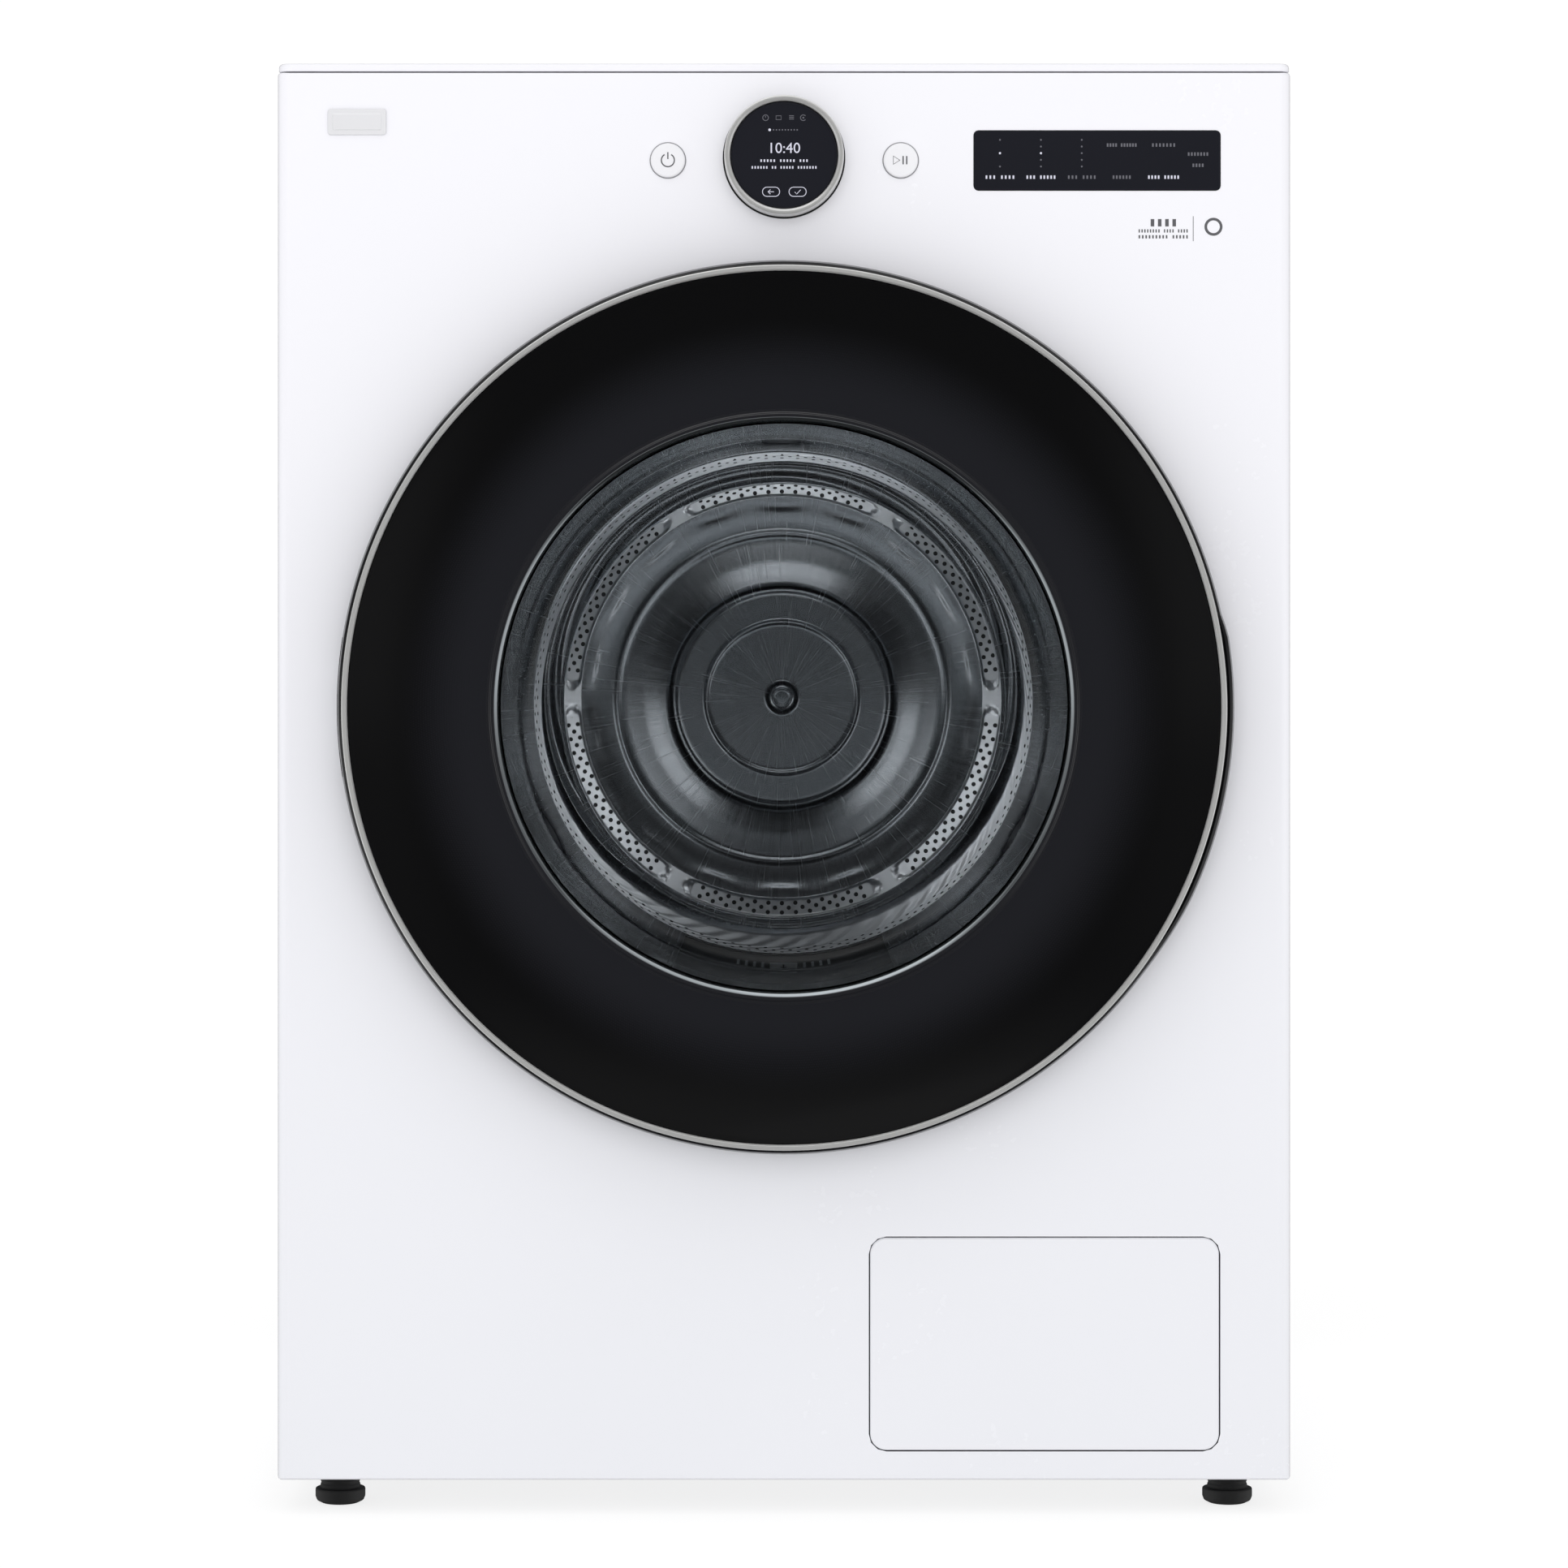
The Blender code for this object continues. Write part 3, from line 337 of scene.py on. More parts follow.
def refined(node, material, bevel=0.0, angle=32.0):
    """A merged copy of a node's mesh: its flats cleared of cuts, softly shaded, its edges slightly broken."""
    source = frame["nodes"][node]
    mesh = source.data.copy()
    made = bmesh.new()
    made.from_mesh(mesh)
    bmesh.ops.remove_doubles(made, verts=made.verts, dist=2e-6)
    bmesh.ops.dissolve_limit(
        made, angle_limit=math.radians(0.6), verts=made.verts, edges=made.edges, use_dissolve_boundaries=False
    )
    made.to_mesh(mesh)
    made.free()
    for layer in [item.name for item in mesh.attributes if item.name == "custom_normal"]:
        mesh.attributes.remove(mesh.attributes[layer])
    piece = finish_piece(
        "fine_" + node, mesh, material, source["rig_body"], [node], angle, keep_faces=True
    )
    if bevel:
        soften = piece.modifiers.new("broken edges", "BEVEL")
        soften.width, soften.segments, soften.limit_method = bevel, 2, "ANGLE"
        soften.angle_limit = math.radians(40)
        soften.use_clamp_overlap = True
        soften.harden_normals = False
    return even_shading(piece)


def even_shading(piece):
    """Large flats keep their own direction, so that a rounded edge never shades across them."""
    even = piece.modifiers.new("even shading", "WEIGHTED_NORMAL")
    even.keep_sharp, even.weight = True, 80
    return piece


# Node helpers


def add_node(tree, kind, values=None, **settings):
    """A node with its settings, and its sockets given a value or a link."""
    made = tree.nodes.new(kind)
    for key, value in settings.items():
        setattr(made, key, value)
    for socket, value in (values or {}).items():
        if isinstance(value, bpy.types.NodeSocket):
            tree.links.new(value, made.inputs[socket])
        else:
            made.inputs[socket].default_value = value
    return made


def maths(tree, operation, first, second=0.0, clamp=False):
    made = add_node(tree, "ShaderNodeMath", {0: first, 1: second}, operation=operation, use_clamp=clamp)
    return made.outputs[0]


def span(tree, value, from_low, from_high, to_low=0.0, to_high=1.0, smooth=True):
    """Maps a value from one range to another, held at both ends."""
    kind = "SMOOTHSTEP" if smooth else "LINEAR"
    settings = {
        "Value": value, "From Min": from_low, "From Max": from_high, "To Min": to_low, "To Max": to_high
    }
    return add_node(tree, "ShaderNodeMapRange", settings, interpolation_type=kind).outputs["Result"]


def blend_colour(tree, share, first, second, mode="MIX"):
    made = add_node(tree, "ShaderNodeMix", {0: share}, data_type="RGBA", blend_type=mode)
    for socket, value in ((6, first), (7, second)):
        if isinstance(value, bpy.types.NodeSocket):
            tree.links.new(value, made.inputs[socket])
        else:
            made.inputs[socket].default_value = (*value, 1.0)[:4]
    return made.outputs[2]


def object_place(tree):
    return add_node(tree, "ShaderNodeTexCoord").outputs["Object"]


def make_group(name, inputs, outputs, build):
    """A shader node group with named sockets, built once."""
    group = bpy.data.node_groups.get(name)
    if group:
        return group
    group = bpy.data.node_groups.new(name, "ShaderNodeTree")
    for label, kind, default in inputs:
        socket = group.interface.new_socket(label, in_out="INPUT", socket_type=kind)
        if default is not None:
            socket.default_value = default
    for label, kind in outputs:
        group.interface.new_socket(label, in_out="OUTPUT", socket_type=kind)
    entry = group.nodes.new("NodeGroupInput")
    leave = group.nodes.new("NodeGroupOutput")
    for label, value in build(group, entry.outputs).items():
        group.links.new(value, leave.inputs[label])
    return group


def use_group(tree, group, values):
    made = tree.nodes.new("ShaderNodeGroup")
    made.node_tree = group
    for socket, value in values.items():
        if isinstance(value, bpy.types.NodeSocket):
            tree.links.new(value, made.inputs[socket])
        else:
            made.inputs[socket].default_value = value
    return made.outputs


def fine_grain():
    """Skin of paint or moulding: a fine noise for the relief, and a broad soft mottle."""

    def build(tree, given):
        fine = add_node(
            tree, "ShaderNodeTexNoise", {"Vector": given["Place"], "Scale": given["Scale"], "Detail": 3.0}
        )
        broad = add_node(tree, "ShaderNodeTexNoise", {"Vector": given["Place"], "Scale": 5.0, "Detail": 2.0})
        mottle = span(tree, broad.outputs["Fac"], 0.3, 0.7)
        return {"Height": fine.outputs["Fac"], "Mottle": mottle}

    inputs = (("Place", "NodeSocketVector", None), ("Scale", "NodeSocketFloat", 900.0))
    return make_group(
        "fine grain", inputs, (("Height", "NodeSocketFloat"), ("Mottle", "NodeSocketFloat")), build
    )


def handling_marks():
    """Faint smudges and dust: two noises multiplied, so that marks come in patches."""

    def build(tree, given):
        patch = add_node(tree, "ShaderNodeTexNoise", {"Vector": given["Place"], "Scale": 7.0, "Detail": 4.0})
        speck = add_node(
            tree, "ShaderNodeTexNoise", {"Vector": given["Place"], "Scale": 160.0, "Detail": 2.0}
        )
        patches = span(tree, patch.outputs["Fac"], 0.48, 0.72)
        specks = span(tree, speck.outputs["Fac"], 0.45, 0.75)
        both = maths(tree, "MULTIPLY", patches, specks)
        return {"Mask": maths(tree, "MULTIPLY", both, given["Amount"], clamp=True)}

    inputs = (("Place", "NodeSocketVector", None), ("Amount", "NodeSocketFloat", 0.5))
    return make_group("handling marks", inputs, (("Mask", "NodeSocketFloat"),), build)


def turned_place():
    """Radius, angle and depth of a point about an axis along Y through the given centre."""

    def build(tree, given):
        parts = add_node(tree, "ShaderNodeSeparateXYZ", {0: given["Place"]}).outputs
        across = maths(tree, "SUBTRACT", parts["X"], given["Centre X"])
        up = maths(tree, "SUBTRACT", parts["Z"], given["Centre Z"])
        square = maths(tree, "ADD", maths(tree, "MULTIPLY", across, across), maths(tree, "MULTIPLY", up, up))
        return {
            "Radius": maths(tree, "SQRT", square),
            "Angle": maths(tree, "ARCTAN2", up, across),
            "Depth": parts["Y"],
        }

    inputs = (
        ("Place", "NodeSocketVector", None),
        ("Centre X", "NodeSocketFloat", 0.0),
        ("Centre Z", "NodeSocketFloat", 0.0),
    )
    outputs = (("Radius", "NodeSocketFloat"), ("Angle", "NodeSocketFloat"), ("Depth", "NodeSocketFloat"))
    return make_group("turned place", inputs, outputs, build)


def brushed_lines():
    """Brush marks: a noise stretched along one direction and tight across the other."""

    def build(tree, given):
        along = maths(tree, "MULTIPLY", given["Along"], given["Stretch"])
        across = maths(tree, "MULTIPLY", given["Across"], given["Density"])
        place = add_node(tree, "ShaderNodeCombineXYZ", {0: along, 1: across, 2: 0.0}).outputs[0]
        noise = add_node(
            tree, "ShaderNodeTexNoise", {"Vector": place, "Scale": 1.0, "Detail": 4.0}
        ).outputs["Fac"]
        return {"Height": noise, "Tone": span(tree, noise, 0.25, 0.75)}

    inputs = (
        ("Along", "NodeSocketFloat", 0.0), ("Across", "NodeSocketFloat", 0.0),
        ("Stretch", "NodeSocketFloat", 4.0), ("Density", "NodeSocketFloat", 900.0),
    )
    return make_group(
        "brushed lines", inputs, (("Height", "NodeSocketFloat"), ("Tone", "NodeSocketFloat")), build
    )


# Materials


def new_material(name):
    """(material, tree, Principled shader), or None for the tree when the material is already made."""
    made = bpy.data.materials.get("dryer " + name)
    if made:
        return made, None, None
    made = bpy.data.materials.new("dryer " + name)
    made.use_nodes = True
    return made, made.node_tree, made.node_tree.nodes["Principled BSDF"]


def give(tree, shader, **values):
    """Sets the shader's sockets by name, an underscore standing for a space."""
    for key, value in values.items():
        socket = shader.inputs[key.replace("_", " ")]
        if isinstance(value, bpy.types.NodeSocket):
            tree.links.new(value, socket)
        elif isinstance(value, tuple) and len(value) == 3 and socket.type == "RGBA":
            socket.default_value = (*value, 1.0)
        else:
            socket.default_value = value


def relief(tree, height, strength, distance):
    return add_node(
        tree, "ShaderNodeBump", {"Height": height, "Strength": strength, "Distance": distance}
    ).outputs["Normal"]


def grained(name, colour, roughness, scale=900.0, depth=0.00002, strength=0.3, tint=0.04, **constants):
    """Paint, moulding or rubber: fine relief, a slight mottle of tone, and faint handling marks."""
    made, tree, shader = new_material(name)
    if tree is None:
        return made
    place = object_place(tree)
    grain = use_group(tree, fine_grain(), {"Place": place, "Scale": scale})
    marks = use_group(tree, handling_marks(), {"Place": place, "Amount": 0.35})["Mask"]
    darker = tuple(channel * (1 - tint) for channel in colour)
    tone = blend_colour(tree, grain["Mottle"], darker, colour)
    rough = maths(tree, "ADD", maths(tree, "MULTIPLY", marks, 0.12), roughness)
    give(
        tree, shader, Base_Color=tone, Roughness=rough,
        Normal=relief(tree, grain["Height"], strength, depth), **constants,
    )
    return made


def enamel():
    """White baked enamel: painted shade darkens it, a trace cooler, towards the foot, with the paint's fine orange
    peel.
    """
    made, tree, shader = new_material("white enamel")
    if tree is None:
        return made
    look = bpy.context.scene.dryer_paint
    place = object_place(tree)
    parts = add_node(tree, "ShaderNodeSeparateXYZ", {0: place}).outputs
    up = span(tree, parts["Z"], 0.0, 1.0)
    grain = use_group(tree, fine_grain(), {"Place": place, "Scale": 520.0})
    marks = use_group(tree, handling_marks(), {"Place": place, "Amount": 0.3})["Mask"]
    body = tuple(look.body)
    # Painted shade: the body colour darkens smoothly from the top down to the foot, where less light falls.
    foot = (body[0] * 0.905, body[1] * 0.916, body[2] * 0.916)
    tone = blend_colour(tree, up, foot, body)
    tone = blend_colour(tree, maths(tree, "MULTIPLY", grain["Mottle"], 0.10), tone, (0.885, 0.885, 0.925))
    rough = maths(tree, "ADD", maths(tree, "MULTIPLY", marks, 0.08), 0.26)
    give(
        tree, shader, Base_Color=tone, Roughness=rough, Coat_Weight=0.25, Coat_Roughness=0.12,
        Specular_IOR_Level=0.35, Normal=relief(tree, grain["Height"], 0.12, 0.00003),
    )
    return made


def piano_black():
    """Black lacquer of the door's rim."""
    return grained(
        "piano black", (0.004, 0.004, 0.005), 0.10, scale=300.0, strength=0.04, tint=0.2,
        Specular_IOR_Level=0.30,
    )


def dish_black():
    """Smoked dark dish: black outside, with a screen of fine printed dots that grows towards the window, and a
    painted glow that lightens it to blue-grey there; a thin grey line at the window's edge is a painted highlight.
    """
    made, tree, shader = new_material("printed black glass")
    if tree is None:
        return made
    look = bpy.context.scene.dryer_door
    place = object_place(tree)
    turned = use_group(
        tree, turned_place(), {"Place": place, "Centre X": float(AXIS[0]), "Centre Z": float(AXIS[1])}
    )
    share = span(tree, turned["Radius"], DISH_RADIUS - 0.028, WINDOW_RADIUS + 0.016)
    cells = use_group(
        tree, dot_screen(), {"Radius": turned["Radius"], "Angle": turned["Angle"], "Share": share}
    )
    lip = span(tree, turned["Radius"], WINDOW_RADIUS + 0.0060, WINDOW_RADIUS + 0.0045)
    # Painted glow: the dish colour lightens to blue-grey towards the window, standing in for light caught where the
    # dish curves; the dots are print.
    painted_glow = maths(tree, "MULTIPLY", share, 0.75)
    tone = blend_colour(tree, painted_glow, tuple(look.dish_outer), tuple(look.dish_inner))
    tone = blend_colour(tree, maths(tree, "MULTIPLY", cells["Dots"], 0.30), tone, tuple(look.dish_inner))
    # Painted highlight: a thin grey, partly metallic line at the window's edge stands in for light caught on the
    # glass rim.
    rim_highlight = span(tree, turned["Radius"], WINDOW_RADIUS + 0.0004, WINDOW_RADIUS - 0.0004)
    tone = blend_colour(tree, rim_highlight, tone, (0.36, 0.39, 0.41))
    marks = use_group(tree, handling_marks(), {"Place": place, "Amount": 0.5})["Mask"]
    rough = maths(tree, "ADD", maths(tree, "MULTIPLY", marks, 0.10), 0.16)
    grain = use_group(tree, fine_grain(), {"Place": place, "Scale": 60.0})
    give(
        tree, shader, Base_Color=tone, Roughness=rough, Metallic=rim_highlight,
        Specular_IOR_Level=span(tree, lip, 0.0, 1.0, look.dish_gloss, 0.75, smooth=False),
        Normal=relief(tree, grain["Height"], 0.02, 0.0002),
    )
    return made


def dot_screen():
    """Halftone: round dots on a polar lattice, growing with the share."""

    def build(tree, given):
        rows = maths(tree, "MULTIPLY", given["Radius"], 620.0)
        columns = maths(tree, "MULTIPLY", given["Angle"], 150.0)
        columns = maths(tree, "ADD", columns, maths(tree, "MULTIPLY", maths(tree, "FLOOR", rows), 0.5))
        across = maths(tree, "SUBTRACT", maths(tree, "FRACT", columns), 0.5)
        up = maths(tree, "SUBTRACT", maths(tree, "FRACT", rows), 0.5)
        square = maths(tree, "ADD", maths(tree, "MULTIPLY", across, across), maths(tree, "MULTIPLY", up, up))
        size = maths(tree, "MULTIPLY", given["Share"], 0.22)
        return {"Dots": maths(tree, "LESS_THAN", square, size)}

    inputs = (
        (
            "Radius", "NodeSocketFloat", 0.0
        ), ("Angle", "NodeSocketFloat", 0.0), ("Share", "NodeSocketFloat", 0.0),
    )
    return make_group("dot screen", inputs, (("Dots", "NodeSocketFloat"),), build)


def turned_metal(
    name, colour, roughness, centre, density=2600.0, strength=0.10, radial=False, shade=0.12, metal=1.0,
    pale=False
):
    """Metal with brush marks round its axis, or straight out from it; where asked, pale rings of painted highlight.
    """
    made, tree, shader = new_material(name)
    if tree is None:
        return made
    place = object_place(tree)
    turned = use_group(
        tree, turned_place(), {"Place": place, "Centre X": float(centre[0]), "Centre Z": float(centre[1])}
    )
    reach = maths(tree, "ADD", turned["Radius"], turned["Depth"])
    along, across = (reach, turned["Angle"]) if radial else (turned["Angle"], reach)
    lines = use_group(
        tree, brushed_lines(), {
            "Along": along, "Across": across, "Stretch": 3.0 if not radial else 14.0, "Density": density
        }
    )
    darker = tuple(channel * (1 - shade) for channel in colour)
    tone = blend_colour(tree, lines["Tone"], darker, colour)
    rough = maths(tree, "ADD", maths(tree, "MULTIPLY", lines["Tone"], 0.08), roughness)
    if pale:
        # Painted highlight: the two hole rings of the drum back are paler and rougher, so that they read as lamp
        # light caught on them.
        rings = use_group(tree, highlight_ring_mask(), {"Radius": turned["Radius"]})["Mask"]
        tone = blend_colour(tree, rings, tone, (0.74, 0.76, 0.79))
        rough = maths(tree, "ADD", maths(tree, "MULTIPLY", rings, 0.08), rough)
    give(
        tree, shader, Base_Color=tone, Metallic=metal, Roughness=rough,
        Normal=relief(tree, lines["Height"], strength, 0.00005),
    )
    return made


def highlight_ring_mask():
    """Two rings of the drum's back that carry the air holes: the mask of a painted highlight."""

    def build(tree, given):
        masks = []
        for start, end in ((0.1625, 0.1785), (0.1935, 0.2180)):
            inside = span(tree, given["Radius"], start - 0.0005, start + 0.0005)
            outside = span(tree, given["Radius"], end + 0.0005, end - 0.0005)
            masks.append(maths(tree, "MULTIPLY", inside, outside))
        return {"Mask": maths(tree, "ADD", *masks, clamp=True)}

    return make_group(
        "etched rings", (("Radius", "NodeSocketFloat", 0.0),), (("Mask", "NodeSocketFloat"),), build
    )


def satin_silver(centre, name="satin silver ring"):
    silver = tuple(bpy.context.scene.dryer_paint.silver)
    return turned_metal(name, silver, 0.34, centre, density=5200.0, strength=0.05, shade=0.08, metal=0.62)


def drum_steel(name, radial):
    return turned_metal(
        name, tuple(bpy.context.scene.dryer_drum.steel), 0.20, AXIS, density=110.0 if radial else 700.0,
        strength=0.015 if radial else 0.08, radial=radial, shade=0.14, pale=radial,
    )


def zinc_sheet():
    """Galvanised sheet: crystal spangle as large flat cells of slightly different tone and gloss."""
    made, tree, shader = new_material("galvanised sheet")
    if tree is None:
        return made
    place = object_place(tree)
    cells = add_node(tree, "ShaderNodeTexVoronoi", {"Vector": place, "Scale": 75.0, "Randomness": 1.0})
    tone_value = add_node(tree, "ShaderNodeSeparateXYZ", {0: cells.outputs["Color"]}).outputs["X"]
    tone = blend_colour(tree, tone_value, (0.46, 0.48, 0.50), (0.66, 0.68, 0.70))
    grain = use_group(tree, fine_grain(), {"Place": place, "Scale": 400.0})
    tone = blend_colour(tree, maths(tree, "MULTIPLY", grain["Mottle"], 0.2), tone, (0.42, 0.43, 0.44))
    rough = span(tree, tone_value, 0.0, 1.0, 0.34, 0.50, smooth=False)
    give(
        tree, shader, Base_Color=tone, Metallic=0.9, Roughness=rough,
        Normal=relief(tree, grain["Height"], 0.15, 0.00003)
    )
    return made


def smoked_glass():
    """Thick pressed glass, slightly smoked."""
    made, tree, shader = new_material("smoked glass")
    if tree is None:
        return made
    place = object_place(tree)
    grain = use_group(tree, fine_grain(), {"Place": place, "Scale": 18.0})
    look = bpy.context.scene.dryer_door
    give(
        tree, shader, Base_Color=tuple(look.glass), Roughness=0.0, Transmission_Weight=1.0, IOR=1.22,
        Normal=relief(tree, grain["Height"], 0.01, 0.0003),
    )
    return made


def felt():
    """Needled felt: short crossed fibres in the tone and the relief."""
    made, tree, shader = new_material("felt")
    if tree is None:
        return made
    place = object_place(tree)
    fibres = add_node(
        tree, "ShaderNodeTexNoise", {"Vector": place, "Scale": 900.0, "Detail": 6.0, "Distortion": 2.5}
    )
    tone = blend_colour(tree, fibres.outputs["Fac"], (0.20, 0.195, 0.19), (0.52, 0.51, 0.50))
    give(
        tree, shader, Base_Color=tone, Roughness=0.95, Sheen_Weight=0.3,
        Normal=relief(tree, fibres.outputs["Fac"], 0.8, 0.0004),
    )
    return made


def circuit_board():
    """Lacquered board: copper tracks as straight bands at right angles under green lacquer."""
    made, tree, shader = new_material("circuit board")
    if tree is None:
        return made
    place = object_place(tree)
    bricks = add_node(tree, "ShaderNodeTexBrick", {"Vector": place, "Scale": 60.0, "Mortar Size": 0.04})
    bricks.inputs["Color1"].default_value = (0.01, 0.10, 0.04, 1.0)
    bricks.inputs["Color2"].default_value = (0.015, 0.14, 0.055, 1.0)
    bricks.inputs["Mortar"].default_value = (0.05, 0.26, 0.11, 1.0)
    give(
        tree, shader, Base_Color=bricks.outputs["Color"], Roughness=0.35,
        Normal=relief(tree, bricks.outputs["Fac"], 0.3, 0.0001),
    )
    return made


def finned_metal():
    """Rolled aluminium with thin shade lines between the fins."""
    made, tree, shader = new_material("aluminium fins")
    if tree is None:
        return made
    place = object_place(tree)
    bands = add_node(
        tree, "ShaderNodeTexWave", {"Vector": place, "Scale": 160.0, "Distortion": 0.4}, bands_direction="X"
    )
    tone = blend_colour(tree, bands.outputs["Fac"], (0.30, 0.31, 0.32), (0.74, 0.75, 0.76))
    give(
        tree, shader, Base_Color=tone, Metallic=0.9, Roughness=0.35,
        Normal=relief(tree, bands.outputs["Fac"], 0.5, 0.0004),
    )
    return made


def machined(name, colour, roughness=0.38):
    """Drawn or machined metal with a light grain."""
    made, tree, shader = new_material(name)
    if tree is None:
        return made
    place = object_place(tree)
    parts = add_node(tree, "ShaderNodeSeparateXYZ", {0: place}).outputs
    lines = use_group(
        tree, brushed_lines(), {"Along": parts["X"], "Across": parts["Y"], "Stretch": 30.0, "Density": 1800.0}
    )
    darker = tuple(channel * 0.7 for channel in colour)
    tone = blend_colour(tree, lines["Tone"], darker, colour)
    give(
        tree, shader, Base_Color=tone, Metallic=1.0, Roughness=roughness,
        Normal=relief(tree, lines["Height"], 0.1, 0.00005),
    )
    return made


def lit(name, colour, strength):
    """Glowing print under the display glass, a little uneven like a back-lit film."""
    made, tree, shader = new_material(name)
    if tree is None:
        return made
    place = object_place(tree)
    noise = add_node(tree, "ShaderNodeTexNoise", {"Vector": place, "Scale": 500.0})
    dim = tuple(channel * 0.88 for channel in colour)
    tone = blend_colour(tree, noise.outputs["Fac"], dim, colour)
    give(
        tree, shader, Base_Color=(0.02, 0.02, 0.022), Emission_Color=tone, Roughness=0.4,
        Emission_Strength=strength
    )
    return made


def display_glass():
    """Dark touch glass with a faint purple-grey body colour."""
    return grained(
        "display glass", (0.0135, 0.0140, 0.0190), 0.12, scale=200.0, strength=0.02, tint=0.10,
        Specular_IOR_Level=0.22
    )


def white_moulding():
    return grained("white moulding", (0.86, 0.858, 0.89), 0.36, scale=1400.0, strength=0.18, tint=0.02)


def grey_moulding():
    return grained("grey moulding", (0.24, 0.25, 0.265), 0.48, scale=1500.0, strength=0.4, tint=0.10)


def black_moulding():
    return grained("black moulding", (0.014, 0.014, 0.016), 0.42, scale=1500.0, strength=0.4, tint=0.2)


def black_rubber():
    return grained("black rubber", (0.012, 0.012, 0.012), 0.62, scale=1100.0, strength=0.5, tint=0.25)


def slot_materials():
    """The finish of each material slot, for the carried-over nodes."""
    return {
        "white_paint": enamel(),
        "white_plastic": white_moulding(),
        "zinc_sheet": zinc_sheet(),
        "black_gloss": piano_black(),
        "black_plastic": black_moulding(),
        "grey_plastic": grey_moulding(),
        "satin_silver": satin_silver(AXIS),
        "smoked_glass": smoked_glass(),
        "stainless": drum_steel("drum steel", False),
        "felt": felt(),
        "rubber": black_rubber(),
        "green_board": circuit_board(),
        "aluminium_fin": finned_metal(),
        "copper": machined("drawn copper", (0.72, 0.36, 0.20), 0.28),
        "steel": machined("machined steel", (0.45, 0.45, 0.46)),
    }


# Settings a user may change


def colour_setting(name, description, default):
    return bpy.props.FloatVectorProperty(
        name=name, description=description, default=default, subtype="COLOR", size=3, min=0.0, max=1.0
    )


def length_setting(name, description, default):
    return bpy.props.FloatProperty(
        name=name, description=description, default=default, min=0.0, unit="LENGTH", subtype="DISTANCE"
    )


class DryerPaint(bpy.types.PropertyGroup):
    body: colour_setting("Body", "Baked enamel of the painted sheets", (0.885, 0.882, 0.925))
    silver: colour_setting("Silver", "Satin silver of the door ring and the dial", (0.74, 0.74, 0.73))
    symbol: colour_setting("Symbols", "Printed symbols on the white buttons", (0.09, 0.09, 0.10))
    lit: colour_setting("Lit print", "Glowing figures of the displays", (0.86, 0.86, 1.0))


class DryerDoor(bpy.types.PropertyGroup):
    dish_outer: colour_setting(
        "Dish, outside", "Dish colour next to the silver ring", (0.0042, 0.0042, 0.0045)
    )
    # The colour next to the window is also the painted glow there.
    dish_inner: colour_setting("Dish, inside", "Dish colour next to the window", (0.0150, 0.0155, 0.0190))
    dish_gloss: bpy.props.FloatProperty(
        name="Dish gloss", description="Specular level of the dish", default=0.06, min=0.0, max=1.0
    )
    glass: colour_setting("Glass", "Body colour of the window bowl", (0.72, 0.75, 0.77))
    edge: length_setting("Edge", "Rounding of the door's ring edges", 0.0008)


class DryerDrum(bpy.types.PropertyGroup):
    steel: colour_setting("Steel", "Brushed steel of the drum", (0.260, 0.272, 0.287))
    hole: length_setting("Hole", "Radius of the air holes in the drum back", 0.0018)
    arcs: bpy.props.IntProperty(
        name="Air arcs", description="Perforated arcs round the drum back", default=6, min=1
    )


class DryerStage(bpy.types.PropertyGroup):
    floor: colour_setting("Floor", "Plain pale floor", (0.97, 0.97, 0.97))
    sky: bpy.props.FloatProperty(
        name="Light", description="Strength of the even light", default=0.76, min=0.0
    )
    distance: length_setting("Camera distance", "From the front panel to the camera", 3.2)


SETTINGS = {
    "dryer_paint": DryerPaint, "dryer_door": DryerDoor, "dryer_drum": DryerDrum, "dryer_stage": DryerStage
}


# Cabinet


SLOT_OF = {entry["node"]: entry["material_slot"] for entry in frame["record"]["subparts"]}


class DRYER_OT_cabinet(bpy.types.Operator):
    """White sheets: folded front, pressed sides and the lid with its shallow well"""

    bl_idname = "dryer.cabinet"
    bl_label = "Cabinet"

    def execute(self, context):
        white = enamel()
        for node in ("front_panel", "left_side_panel", "right_side_panel"):
            refined(node, white, bevel=0.0004)
        lid_low, lid_high = low("top_cover"), high("top_cover")
        size, centre = (lid_high - lid_low)[:2], ((lid_low + lid_high) / 2)[:2]
        top, edge = lid_high[2], 0.0026
        turn = np.linspace(0, math.pi / 2, 6)
        loops = [(0.0006, lid_low[2]), (0.0, lid_low[2] + 0.0005)]
        loops += [(edge * (1 - math.cos(t)), top - edge * (1 - math.sin(t))) for t in turn]
        loops += [(0.016, top), (0.017, top - 0.0001), (0.021, top - 0.0009), (0.022, top - 0.0010)]
        make_piece(
            "lid", [
                plate(centre, size, 0.008, loops, "z", steps=8)
            ], white, "cabinet", ["top_cover"]
        )
        for name, side in (("left", -1), ("right", 1)):
            outer = side * high("right_side_panel")[0]
            field = pressing(
                (0.03, 0.50), (0.58, 0.80), 0.05, outer - side * 0.0002, side * 0.0016, 0.022, "x"
            )
            make_piece(f"{name}_side_pressing", [field], white, "cabinet")
        return {"FINISHED"}


